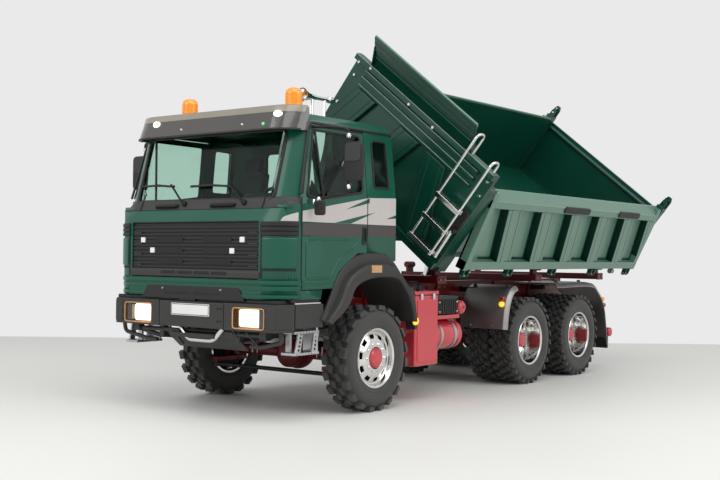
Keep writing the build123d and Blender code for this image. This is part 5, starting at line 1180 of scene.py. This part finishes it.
# Bed corners: hinge brackets over the posts with bright pins, and the rear brackets with their levers
for side, sign in SIDES.items():
    for end, x in (("front", BOARD_BACK - 6.0), ("rear", BED_REAR + 4.0)):
        cheeks = [prism("x", [(76.4, 184.0), (84.0, 184.0), (84.4, 189.0), (82.4, 192.6), (78.0, 192.6),
                              (76.0, 189.0)], (at, at + 1.6)) for at in (x - 3.8, x + 1.8)]
        bed_piece(f"hinge_cheeks_{end}_{side}", on_side(merged(*cheeks), sign), bed_enamel, 0.3)
        pin = lathe([(-3.9, 0.2), (-3.9, 2.0), (-3.4, 2.3), (3.4, 2.3), (3.9, 2.0), (3.9, 0.2)], "x",
                    (x, sign * 80.0, 187.0), 20)
        bed_piece(f"hinge_pin_{end}_{side}", pin, chrome)
ends = []
for sign in (1, -1):
    arm = prism("x", [(76.4, 189.0), (84.0, 189.0), (84.0, 200.0), (82.2, 204.0), (78.2, 204.0),
                      (76.4, 200.0)], (BED_REAR + 0.2, BED_REAR + 2.2))
    stay = prism("x", [(76.8, 190.0), (83.0, 190.0), (82.6, 198.0), (80.8, 201.0), (77.6, 199.0)],
                 (BED_REAR + 4.8, BED_REAR + 6.8))
    ends.append(on_side(merged(arm, stay), sign))
bed_piece("rear_brackets", merged(*ends), bed_enamel, 0.3)
spots = [((BED_REAR + 7.0, sign * 79.6, 196.4), (1, 0, 0)) for sign in (1, -1)]
spots += [((BED_REAR + 2.3, sign * 80.8, 201.0), (1, 0, 0)) for sign in (1, -1)]
fasteners("rear_bracket_bolts", spots, 1.2, 1.1, chrome, "bed", BED, 0.75, 12)
levers = [tube(round_corners([(BED_REAR + 1.4, sign * 82.0, 197.0), (BED_REAR + 1.0, sign * 83.0, 188.0),
                              (BED_REAR + 1.0, sign * 83.0, 172.0)], 3.0), 0.8, 8) for sign in (1, -1)]
bed_piece("rear_levers", merged(*levers), black_steel)

# Side walls, drawn closed: pressed strips pale with painted floor light, grooves in painted shade, folded
# rails with painted highlights, grips, hooks
PANEL_LOW, PANEL_HIGH = BED_SILL + 7.6, WALL_TOP - 14.0
WALL_INNER = BED_HALF - WALL_THICK
RIB_PITCH, RIB_STRIP, RIB_SLANT = 55.3, 12.0, radians(19.0)
RIB_SHIFT = tan(RIB_SLANT) * (PANEL_HIGH - PANEL_LOW)
END_MEMBER = 7.0


def wall_strip(front_x, width, span):
    """Slanted strip between the wall's end members: front edge at mid height, width, span across."""
    low, high = front_x - RIB_SHIFT / 2, front_x + RIB_SHIFT / 2
    corners = [(low, PANEL_LOW), (high, PANEL_HIGH), (high - width, PANEL_HIGH), (low - width, PANEL_LOW)]
    corners = cut_span(corners, WALL_REAR + END_MEMBER - 0.5, WALL_FRONT - END_MEMBER + 0.5)
    return prism("y", corners, span) if len(corners) > 2 else ([], [])


def wall_shapes():
    """Parts of one wall, left and closed, by name: shape, material, edge width."""
    full = (WALL_REAR, WALL_FRONT)
    skin = box(full, (WALL_INNER, WALL_INNER + 1.6), (BED_SILL, WALL_TOP))
    ends = [box(span, (WALL_INNER, BED_HALF - 0.2), (BED_SILL, WALL_TOP - 1.0))
            for span in ((WALL_REAR, WALL_REAR + END_MEMBER), (WALL_FRONT - END_MEMBER, WALL_FRONT))]
    top = [(WALL_INNER, PANEL_HIGH), (BED_HALF - 0.6, PANEL_HIGH), (BED_HALF, PANEL_HIGH + 0.6),
           (BED_HALF, PANEL_HIGH + 6.0), (WALL_INNER + 2.4, WALL_TOP - 0.4), (WALL_INNER, WALL_TOP)]
    low = [(WALL_INNER, BED_SILL), (BED_HALF - 1.4, BED_SILL), (BED_HALF, BED_SILL + 1.0),
           (BED_HALF, PANEL_LOW - 0.6), (BED_HALF - 0.6, PANEL_LOW), (WALL_INNER, PANEL_LOW)]
    strips, steps, shaded_grooves, creases = [], [], [], []
    for index in range(6):
        edge = WALL_FRONT - END_MEMBER - index * RIB_PITCH - (RIB_PITCH - 2 * RIB_STRIP)
        strips.append(wall_strip(edge, RIB_STRIP, (WALL_INNER + 0.8, BED_HALF - 0.1)))
        steps.append(wall_strip(edge - RIB_STRIP, RIB_STRIP, (WALL_INNER + 0.8, BED_HALF - 1.5)))
        # Creases in the groove colour: painted shade
        for at in (5.0, 12.4, 20.0):
            depth = BED_HALF - (0.1 if at < RIB_STRIP else 1.5)
            creases.append(wall_strip(edge - at, 0.5, (depth - 0.5, depth + 0.08)))
        # Dark strips in each groove and along the rib's front side, and a foot under each panel: painted
        # shade
        shaded_grooves.append(wall_strip(edge + 3.4, 3.6, (WALL_INNER + 1.5, WALL_INNER + 1.75)))
        shaded_grooves.append(wall_strip(edge + 0.3, 0.4, (WALL_INNER + 1.5, BED_HALF - 0.5)))
        toe = edge - RIB_SHIFT / 2
        foot = [(toe + 1.0, PANEL_LOW), (toe + 21.0, PANEL_LOW), (toe + 21.6, PANEL_LOW + 1.8),
                (toe + 1.6, PANEL_LOW + 1.8)]
        foot = cut_span(foot, WALL_REAR, WALL_FRONT - END_MEMBER)
        shaded_grooves.append(prism("y", foot, (WALL_INNER + 1.5, WALL_INNER + 2.4)))
    grips = []
    for first, last in ((-255.0, -206.0), (-364.0, -317.0)):
        outline = rounded((first, 177.6), (last, 183.4), 2.4)
        grips.append(prism("y", outline, (BED_HALF - 2.0, BED_HALF + 1.3)))
    # Folded edges along the wall, in painted highlight: place across, height, radius
    rails = ((WALL_INNER + 1.2, WALL_TOP - 0.3, 0.6), (BED_HALF - 0.2, PANEL_HIGH + 6.2, 0.5),
             (BED_HALF - 0.4, PANEL_LOW - 0.3, 0.45))
    beads = [tube([(WALL_REAR, y, z), (WALL_FRONT, y, z)], radius, 8) for y, z, radius in rails]
    upright = [(WALL_FRONT - 0.6, BED_HALF - 0.4, z) for z in (BED_SILL + 1, PANEL_HIGH + 6)]
    beads.append(tube(upright, 0.45, 8))
    liner = box(full, (WALL_INNER - 0.12, WALL_INNER + 0.4), (BED_SILL + 0.3, WALL_TOP - 1.6))
    return {
        "liner": (liner, bed_enamel, 0.0),
        "frame": (merged(skin, *ends, prism("x", top, full), prism("x", low, full)), wall_painted_floor_light, 0.35),
        "ribs": (merged(*strips), wall_painted_floor_light, 0.4),
        "steps": (merged(*steps), wall_painted_floor_light, 0.3),
        "shaded_grooves": (merged(*shaded_grooves), groove_painted_shade, 0.0),
        "creases": (merged(*creases), groove_painted_shade, 0.0),
        "beads": (merged(*beads), rim_painted_highlight, 0.0),
        "grips": (merged(*grips), black_abs, 0.7),
    }


def wall_hooks():
    """Latch hooks under the wall's bottom edge, with their bright pins."""
    hooks, pins = [], []
    for x in (-92.0, -161.0, -239.5, -321.0, -401.0):
        for at in (x - 4.4, x + 2.6):
            hooks.append(prism("x", [(78.4, BED_SILL + 0.6), (83.4, BED_SILL + 0.6), (83.6, BED_SILL - 5.4),
                                     (82.0, BED_SILL - 7.8), (79.6, BED_SILL - 7.8),
                                     (79.0, BED_SILL - 3.0)], (at, at + 1.8)))
        pins.append(lathe([(x - 5.4, 0.2), (x - 5.4, 1.1), (x + 5.4, 1.1), (x + 5.4, 0.2)], "x",
                          (0, 81.6, BED_SILL - 5.4), 12))
    latch = lathe([(-369.0, 0.2), (-369.0, 2.4), (-363.0, 2.4), (-363.0, 0.2)], "x",
                  (0, 81.0, BED_SILL - 3.4), 16)
    return merged(*hooks), merged(*pins, latch)


for side, sign in SIDES.items():
    body = f"{side}_wall"
    place = LEFT_WALL if sign > 0 else BED
    for label, (shape, material, bevel) in wall_shapes().items():
        stands_for = (f"wall_{side}",) if label == "frame" else ()
        piece(f"wall_{side}_{label}", on_side(shape, sign), material, body, place, bevel, stands_for)
    hooks, pins = wall_hooks()
    piece(f"wall_{side}_hooks", on_side(hooks, sign), bed_enamel, body, place, 0.3)
    piece(f"wall_{side}_hook_pins", on_side(pins, sign), zinc, body, place, 0.0)

# Locking lever on the headboard's left edge, and its black catch
lever = tube([(BED_FRONT + 6.4, 81.6, 151.0), (BED_FRONT + 6.4, 82.4, 126.0)], 1.5, 12)
bed_piece("lock_lever", lever, polished)
catch = prism("x", [(74.0, 150.0), (83.6, 150.0), (83.6, 168.0), (79.0, 172.0), (75.4, 166.0)],
              (BED_FRONT - 0.2, BED_FRONT + 2.2))
bed_piece("lock_catch", catch, black_abs, 0.4)
eye = lathe([(-2.4, 0.2), (-2.4, 2.3), (2.4, 2.3), (2.4, 0.2)], "x", (BED_FRONT + 5.2, 81.6, 151.4), 16)
bed_piece("lock_eye", eye, black_steel, 0.2)

# Stops along the floor's edges and the tailgate's opening close the gaps to the light
STOP = (BED_REAR + 3.7, BED_REAR + 5.2)
stops = [both(box(STOP, (73.4, 75.5), (124.0, 186.0))), box(STOP, (-75.5, 75.5), (123.8, 126.0)),
         both(box((BED_REAR + 8.6, BED_FRONT - 4.0), (74.2, 75.5), (123.8, 125.6)))]
bed_piece("floor_stops", merged(*stops), bed_enamel, 0.2)

# Floor's underside: stiffeners between the bearers; the tailgate's bands in the walls' pale painted light and
# its edges in painted highlight
STIFFENER_XS = (-130.0, -165.0, -225.0, -260.0, -300.0, -355.0)
stiff = [box((x - 2.0, x + 2.0), (-74.0, 74.0), (115.6, 118.6)) for x in STIFFENER_XS]
bed_piece("floor_stiffeners", merged(*stiff), bed_enamel, 0.4)
GATE_HALF = 75.2
bands = [box((BED_REAR, BED_REAR + 0.5), (y - 7.0, y + 7.0), (127.0, 180.0))
         for y in (-52.0, -17.5, 17.5, 52.0)]
piece("tailgate_bands", merged(*bands), wall_painted_floor_light, "tail_gate", BED, 0.2)
gate_edges = [tube([(BED_REAR + 0.6, -GATE_HALF, z), (BED_REAR + 0.6, GATE_HALF, z)], 0.5, 8)
              for z in (125.6, 182.6)]
piece("tailgate_edges", merged(*gate_edges), rim_painted_highlight, "tail_gate", BED, 0.0)

# Mirrors: rounded head with a bright glass, bent arms, and a small kerb mirror below
for door in DOORS:
    side = door.split("_")[0]
    head = rounded((99.6, 164.1), (115.4, 190.9), 4.0, 6)
    door_piece(door, "mirror_head", prism("x", head, (59.4, 62.0)), black_abs, 0.8, (f"mirror_{side}",))
    upper = rounded((100.8, 177.6), (114.2, 189.8), 2.6)
    door_piece(door, "mirror_shell", prism("x", upper, (61.2, 62.6)), charcoal_abs, 0.4)
    glass = rounded((101.0, 165.6), (114.0, 189.4), 2.8)
    door_piece(door, "mirror_glass", prism("x", glass, (58.6, 59.6)), chrome)
    arm = [(75.6, 84.4, 150.0), (68.0, 95.0, 154.6), (60.4, 102.5, 156.0), (60.0, 102.5, 178.0),
           (60.4, 102.5, 200.0), (66.0, 92.0, 201.4), (71.2, 79.8, 201.6)]
    door_piece(door, "mirror_arm", tube(round_corners(arm, 3.4, 5), 1.0, 12), black_steel)
    balls = [lathe([(-1.8, 0.2), (-1.5, 1.2), (0.0, 1.9), (1.5, 1.2), (1.8, 0.2)], "z", spot, 14)
             for spot in ((60.2, 102.5, 160.6), (60.2, 102.5, 195.4), (75.4, 84.9, 150.2),
                          (77.0, 90.4, 151.6))]
    door_piece(door, "mirror_joints", merged(*balls), chrome)
    small = rounded((88.0, 140.8), (96.0, 150.4), 2.0)
    door_piece(door, "kerb_mirror", prism("x", small, (75.6, 78.8)), black_abs, 0.7)
    arm = [(75.0, 86.0, 151.0), (77.0, 90.4, 151.8), (77.0, 91.6, 149.6)]
    door_piece(door, "kerb_arm", tube(arm, 0.8, 10), black_steel)

# Cab inside: seats with headrests, steering wheel, dials' hood
CUSHION_ROUNDING = 2.6


def cushion(x, y, z, lean=0.0):
    """Rounded block from its spans, leaning back as it rises."""
    points, faces = prism("x", rounded((y[0], z[0]), (y[1], z[1]), CUSHION_ROUNDING), x)
    return [Vector((p.x - lean * (p.z - z[0]), p.y, p.z)) for p in points], faces


for side, sign in SIDES.items():
    seat = merged(cushion((8.0, 40.0), (23.0, 57.0), (134.0, 143.0)),
                  cushion((6.5, 14.5), (24.0, 56.0), (141.0, 178.0), 0.2),
                  cushion((-1.6, 4.2), (32.0, 48.0), (179.2, 190.6), 0.2))
    base = merged(box((10.0, 38.0), (26.0, 54.0), (113.0, 134.0)),
                  tube([(0.4, 36.0, 176.0), (-0.6, 36.0, 182.0)], 0.8, 8),
                  tube([(0.4, 44.0, 176.0), (-0.6, 44.0, 182.0)], 0.8, 8))
    piece(f"seat_{side}", on_side(seat, sign), seat_cloth, bevel=0.6, replaces=("seats",) if sign > 0 else ())
    piece(f"seat_base_{side}", on_side(base, sign), black_abs, bevel=0.3)
column_turn = Vector((-0.6, 0.0, 0.8)).to_track_quat("Z", "Y").to_matrix().to_4x4()
wheel_place = Matrix.Translation((57.0, 40.0, 153.0)) @ column_turn
rim = tube([(12.5 * cos(tau * k / 36), 12.5 * sin(tau * k / 36), 0) for k in range(36)], 1.25, 10, True)
spokes = [tube([(2.5 * cos(a), 2.5 * sin(a), -0.4), (11.8 * cos(a), 11.8 * sin(a), 0)], 0.9, 8)
          for a in (0.5, pi - 0.5, -pi / 2)]
hub = lathe([(-1.6, 0.2), (-1.6, 3.4), (0.6, 3.2), (1.2, 2.0), (1.2, 0.2)], "z", (0, 0, 0), 20)
piece("steering_wheel", placed(merged(rim, *spokes, hub), wheel_place), black_abs)
hood = [(72.0, 145.0), (66.0, 146.0), (67.5, 155.5), (78.0, 157.0), (84.0, 151.5)]
piece("dial_hood", prism("y", hood, (24.0, 56.0)), dash_skin, bevel=0.8)

# Left side: tall box with lid and latches, battery box, air tanks with domed ends
BOX_SPAN = (-87.0, -54.0)
piece("box_lid", box((BOX_SPAN[0] - 0.4, BOX_SPAN[1] + 0.4), (34.0, 80.4), (83.6, 86.6)), box_red, bevel=0.8)
piece("box_seam", box((BOX_SPAN[0] - 0.1, BOX_SPAN[1] + 0.1), (50.0, 80.12), (82.9, 83.6)), gap_and_shade_black)
panel = rounded((-84.0, 31.0), (-57.0, 80.6), 2.6)
piece("box_panel", prism("y", panel, (79.2, 80.6)), box_red, bevel=0.5)
piece("box_latches", merged(*[box((x - 1.6, x + 1.6), (80.2, 81.4), (79.6, 84.6)) for x in (-79.0, -62.0)]),
      chrome, bevel=0.3)
PORTS = ((-60, 74), (-68, 74), (-76, 70))
ports = [lathe([(86.2, 2.2), (88.6, 2.2), (89.2, 1.6), (90.6, 1.4), (90.6, 0.2)], "z", (x, y, 0), 14)
         for x, y in PORTS]
piece("box_ports", merged(*ports), black_abs)
hoses = [tube(smooth_path([(x, y, 90.0), (x - 2, y - 6, 93.0), (x - 4, y - 24, 90.0), (x - 8, 32.0, 84.0)],
                          5), 0.9, 8) for x, y in PORTS]
piece("box_hoses", merged(*hoses), seal_rubber)
slat_rows("battery_ribs", ((9, (-116.2, 78.1, 73.4), (3.35, 0, 0), (1.4, 0.9, 10.4)),), black_abs, bevel=0.2)
piece("battery_lid", box((-118.4, -87.6), (32.0, 78.9), (79.4, 81.6)), charcoal_abs, bevel=0.6)
bolts = [((x, 78.6, z), (0, 1, 0)) for x in (-116.0, -90.0) for z in (69.4, 77.0)]
fasteners("battery_bolts", bolts, 1.0, 0.9, chrome)
piece("tank_shelf", box((-119.5, -87.2), (33.0, 79.4), (63.4, 66.6)), box_red, bevel=0.5)
TANK = (0.0, 66.0, 50.0)
ends = [(-128.4, 0.2), (-127.6, 5.5), (-126.0, 9.2), (-123.8, 11.2), (-121.5, 12.15), (-92.5, 12.15),
        (-90.2, 11.2), (-88.3, 9.2), (-87.6, 5.5), (-87.4, 0.2)]
piece("low_tank_shell", lathe(ends, "x", TANK, 48), box_red)
bands = [lathe([(x - 1.6, 12.0), (x - 1.6, 12.55), (x + 1.6, 12.55), (x + 1.6, 12.0)], "x", TANK, 48,
               ring=True) for x in (-96.0, -116.0)]
piece("low_tank_bands", merged(*bands), brushed)
valve = lathe([(36.6, 1.0), (35.0, 1.0), (34.6, 0.6), (34.6, 0.1)], "z", (-107.0, 66.0, 2.2), 10)
piece("low_tank_valve", valve, zinc)
small_end = [(77.6, 5.6), (78.6, 5.3), (79.6, 4.2), (80.1, 2.4), (80.2, 0.1)]
piece("high_tank_end", lathe(small_end, "y", (-124.5, 0, 72.0), 32), box_red)
fasteners("high_tank_plug", [((-124.5, 80.3, 72.0), (0, 1, 0))], 1.2, 1.2, zinc, sides=6)
for index, x in enumerate((-68.0, -112.0)):
    loop = round_corners([(x, -36.5, 33.6), (x, -78.4, 33.6), (x, -78.4, 74.4), (x, -36.5, 74.4)], 5.0, 5)
    piece(f"fuel_strap_{index}", tube(loop, 1.0, 8), black_steel)
cap = lathe([(74.0, 5.0), (77.0, 5.0), (77.6, 4.4), (77.6, 0.1)], "z", (-60.5, -58.0, 0), 28)
piece("fuel_cap", cap, black_abs)

# Rear mudguards: bent satin sheets with a rolled outer edge, knobs, lamps and flaps
GUARD_PATHS = (((-184.5, 51), (-187, 66), (-191.5, 78), (-198, 85.6), (-206, 88.6)),
               ((-281, 89.2), (-352, 89.2), (-372, 82.0), (-388, 64), (-396, 26)))
# Rolled section: place across, depth below the sheet's top
ROLLED = ((39.2, 0.7), (79.5, 0.7), (82.6, 0.2), (84.4, -1.4), (85.3, -4.2), (84.3, -4.2), (83.5, -2.3),
          (82.1, -1.1), (79.5, -0.7), (39.2, -0.7))
guards = []
for path in GUARD_PATHS:
    line = smooth_path([(x, z, 0) for x, z in path], 5)
    sections = []
    for index, point in enumerate(line):
        along = (line[min(index + 1, len(line) - 1)] - line[max(index - 1, 0)]).normalized()
        out = Vector((along.y, -along.x, 0))
        sections.append([((point + out * depth).x, y, (point + out * depth).y) for y, depth in ROLLED])
    guards.append(swept(sections))
arms = [box((x - 2, x + 2), (30, 46), (82, 86.5)) for x in (-199.0, -330.0)]
piece("guard_sheets", both(merged(*guards)), satin_aluminium, replaces=("rear_mudguards",))
piece("guard_arms", both(merged(*arms)), black_steel, bevel=0.25)
KNOBS = ((-200.0, 45.0, 87.8), (-200.0, 78.0, 87.8), (-292.0, 50.0, 90.2), (-292.0, 78.0, 90.2),
         (-340.0, 50.0, 90.2), (-340.0, 78.0, 90.2))
knobs = [((x, sign * y, z), (0, 0, 1)) for x, y, z in KNOBS for sign in (1, -1)]
fasteners("guard_knobs", knobs, 1.9, 1.8, black_abs, crown=0.75, sides=14)
# Lamps on the guard's front face: place along and up, lens
for index, (x, z, lens) in enumerate(((-187.6, 72.6, lit_amber), (-189.0, 77.6, red_lens))):
    dome = lathe([(x - 2.0, 2.3), (x + 0.8, 2.3), (x + 2.0, 1.5), (x + 2.3, 0.1)], "x", (0, 79.5, z), 18)
    piece(f"guard_lamp_{index}", both(dome), lens)
fasteners("guard_screws", [((-184.2, sign * y, 53.6), (1, 0, 0)) for y in (50.0, 72.0) for sign in (1, -1)],
          0.9, 0.7, zinc)
flaps = prism("y", [(-397.0, 34.0), (-394.0, 34.0), (-393.6, 22.0), (-396.6, 22.0)], (45.0, 84.0))
piece("guard_flaps", both(flaps), seal_rubber, bevel=0.3)

# Frame and subframe: rows of bolts, brackets, end plates, brake lines
BRACKET_XS = (-98.0, -165.0, -262.0, -330.0)
BEAM_XS = (-98.0, -262.0, -394.0)
# Bolt heads in a darker red: painted shade
spots = [((76.0 - 13.0 * k, sign * 30.2, z), (0, sign, 0)) for k in range(36) for z in (66.0, 76.0)
         for sign in (1, -1) if k not in (9, 10, 11, 12, 13)]
fasteners("frame_bolts", spots, 1.35, 0.9, frame_bolt_painted_shade, crown=0.8, sides=6)
spots = [((-60.0 - 14.0 * k, sign * 30.2, 86.0), (0, sign, 0)) for k in range(24) for sign in (1, -1)]
fasteners("subframe_bolts", spots, 1.5, 0.8, frame_bolt_painted_shade, crown=0.8, sides=12)
plates = [prism("y", [(x - 9, 72.0), (x + 9, 72.0), (x + 6, 91.0), (x - 6, 91.0)], (29.6, 31.6))
          for x in BRACKET_XS]
piece("frame_brackets", both(merged(*plates)), frame_red, bevel=0.3)
bolts = [((x + dx, sign * 31.8, z), (0, sign, 0)) for x in BRACKET_XS for dx in (-4, 4)
         for z in (75.0, 87.0) for sign in (1, -1)]
fasteners("bracket_bolts", bolts, 1.1, 0.8, zinc, sides=6)
caps = [box((x - 6.4, x + 6.4), (74.6, 76.0), (91.6, 98.4)) for x in BEAM_XS]
piece("beam_caps", both(merged(*caps)), frame_red, bevel=0.4)
spots = [((x + dx, sign * 76.1, 95.0), (0, sign, 0)) for x in BEAM_XS for dx in (-3.4, 3.4)
         for sign in (1, -1)]
fasteners("beam_bolts", spots, 1.0, 0.8, zinc, sides=6)
lines = [tube(smooth_path([(-40, sign * 32.4, 70.0 + up), (-120, sign * 32.2, 71.0 + up),
                           (-200, sign * 32.6, 69.5 + up), (-300, sign * 32.2, 71.0 + up),
                           (-390, sign * 31.6, 70.0 + up)], 8), 0.8, 8) for sign in (1, -1)
         for up in (0.0, 2.4)]
piece("brake_lines", merged(*lines), seal_rubber)

# Springs and axles: U-bolts, the axle housings' covers, shaft joints
COVERS = ((AXLE_XS["front"], 8.0), (AXLE_XS["mid"], 0.0), (AXLE_XS["rear"], 0.0))
clamps = []
for x in (-4.5, 4.5, -286.5, -277.5):
    low, high = (36.0, 52.0) if x > -100 else (50.0, 63.0)
    clamps.append(tube(round_corners([(x, 30.6, low), (x, 30.6, high), (x, 35.9, high), (x, 35.9, low)],
                                     2.0), 0.7, 8))
piece("spring_clamps", both(merged(*clamps)), zinc)
covers = [lathe([(x + 8.0, 11.6), (x + 12.8, 11.0), (x + 14.6, 8.0), (x + 15.4, 3.0), (x + 15.5, 0.1)], "x",
                (0, y, AXLE_Z), 32) for x, y in COVERS]
piece("axle_covers", merged(*covers), frame_red)
bolts = [((x + 11.6, y + 9.6 * cos(tau * k / 8), AXLE_Z + 9.6 * sin(tau * k / 8)), (1, 0, 0))
         for x, y in COVERS for k in range(8)]
fasteners("axle_cover_bolts", bolts, 0.8, 1.0, zinc, sides=6)
SHAFT_JOINTS = ((-70.0, 8.0, 43.8), (-112.0, 0.0, 43.6), (-216.0, 0.0, 39.6), (-250.0, 0.0, 39.0))
sleeves = [lathe([(x - 4, 4.4), (x + 4, 4.4)], "x", (0, y, z), 20) for x, y, z in SHAFT_JOINTS]
piece("shaft_joints", merged(*sleeves), zinc, bevel=0.4)

# Tail: lamps in three colours, underrun end caps, side marks
TAIL_LENSES = ((40.4, 46.4, clear_lens), (46.8, 53.0, red_lens), (53.4, 59.6, amber))
for index, (low, high, lens) in enumerate(TAIL_LENSES):
    piece(f"tail_lens_{index}", both(box((-403.6, -402.6), (low, high), (62.8, 69.2))), lens, bevel=0.4)
cap = lathe([(80.8, 4.6), (82.6, 4.6), (83.4, 4.0), (83.8, 2.6), (83.9, 0.1)], "y", (-404.0, 0, 38.0), 28)
piece("underrun_caps", both(cap), box_red)
for label, x, z, lens in (("amber", -384.0, 72.3, amber), ("red", -386.5, 66.1, red_lens)):
    mark = lathe([(83.0, 2.1), (84.6, 2.1), (85.3, 1.3), (85.4, 0.1)], "y", (x, 0, z), 18)
    piece(f"side_{label}_marks", both(mark), lens)

# Stage, light and camera
CAMERA_PLACE = (637.92, 555.56, 115.05)
CAMERA_YAW, CAMERA_PITCH, CAMERA_ROLL = radians(217.449), radians(0.741), radians(0.652)
FOCAL_PIXELS, FRAME_WIDTH, SENSOR = 1082.9, 720, 36.0
FLOOR_FAR, FLOOR_NEAR, FLOOR_HALF = 1445.0, -900.0, 2600.0


def camera_turn():
    ahead = Vector((cos(CAMERA_PITCH) * cos(CAMERA_YAW), cos(CAMERA_PITCH) * sin(CAMERA_YAW),
                    sin(CAMERA_PITCH)))
    right = ahead.cross(Vector((0, 0, 1))).normalized()
    up = right.cross(ahead)
    right, up = (right * cos(CAMERA_ROLL) + up * sin(CAMERA_ROLL),
                 up * cos(CAMERA_ROLL) - right * sin(CAMERA_ROLL))
    return Matrix((right, up, -ahead)).transposed().to_4x4()


def place_camera():
    lens = bpy.data.cameras.new("photo_view")
    lens.sensor_width = SENSOR
    lens.lens = FOCAL_PIXELS / FRAME_WIDTH * SENSOR
    lens.clip_start = 0.01
    made = bpy.data.objects.new("photo_view", lens)
    made.matrix_world = Matrix.Translation(CHASSIS @ Vector(CAMERA_PLACE)) @ camera_turn()
    bpy.context.scene.collection.objects.link(made)
    bpy.context.scene.camera = made


def lay_floor():
    """Pale table whose far edge lies across the view, as in a small studio."""
    ahead = Vector((cos(CAMERA_YAW), sin(CAMERA_YAW), 0))
    right = Vector((ahead.y, -ahead.x, 0))
    start = Vector((CAMERA_PLACE[0], CAMERA_PLACE[1], 0))
    corners = [(FLOOR_NEAR, -FLOOR_HALF), (FLOOR_NEAR, FLOOR_HALF), (FLOOR_FAR, FLOOR_HALF),
               (FLOOR_FAR, -FLOOR_HALF)]
    points = [CHASSIS @ (start + ahead * far + right * across) for far, across in corners]
    mesh = bpy.data.meshes.new("studio_table")
    mesh.from_pydata(points, [], [[3, 2, 1, 0]])
    # Matt white laminate: even, very slightly warm
    mesh.materials.append(surface("white_laminate", "#e9e9e5", "#eeeeea", 200, (0.5, 0.6), (3.0, 0.005)))
    table = bpy.data.objects.new("studio_table", mesh)
    bpy.context.scene.collection.objects.link(table)


def light_studio():
    """Pale surround that the camera and mirrors see, softer light on the object, and three soft boxes."""
    world = bpy.data.worlds.new("studio")
    bpy.context.scene.world = world
    world.use_nodes = True
    tree = world.node_tree
    tree.nodes.clear()
    ray = add(tree, "ShaderNodeLightPath").outputs
    seen = add(tree, "ShaderNodeMath", {0: ray["Is Camera Ray"], 1: ray["Is Glossy Ray"]},
               operation="MAXIMUM").outputs[0]
    seen = add(tree, "ShaderNodeMath", {0: seen, 1: ray["Is Transmission Ray"]},
               operation="MAXIMUM").outputs[0]
    soft = add(tree, "ShaderNodeBackground", {"Color": colour("#ffffff"), "Strength": 0.42})
    wall = add(tree, "ShaderNodeBackground", {"Color": colour("#eaeaeb"), "Strength": 1.0})
    mix = add(tree, "ShaderNodeMixShader", {0: seen, 1: soft.outputs[0], 2: wall.outputs[0]})
    add(tree, "ShaderNodeOutputWorld", {"Surface": mix.outputs[0]})
    # Soft boxes: name, place, aim, size, watts
    boxes = (
        ("key_box", (350, 500, 1100), (-120, 20, 120), 900, 6.4),
        ("front_box", (1000, -250, 650), (40, 0, 110), 700, 4.4),
        ("side_box", (-250, 1100, 700), (-220, 40, 120), 800, 4.8),
    )
    for name, place, aim, size, watts in boxes:
        lamp = bpy.data.lights.new(name, "AREA")
        lamp.size = size * MM
        lamp.energy = watts
        made = bpy.data.objects.new(name, lamp)
        start, end = CHASSIS @ Vector(place), CHASSIS @ Vector(aim)
        turn = (end - start).to_track_quat("-Z", "Y").to_matrix().to_4x4()
        made.matrix_world = Matrix.Translation(start) @ turn
        bpy.context.scene.collection.objects.link(made)


place_camera()
lay_floor()
light_studio()
bpy.context.scene.view_settings.view_transform = "Standard"
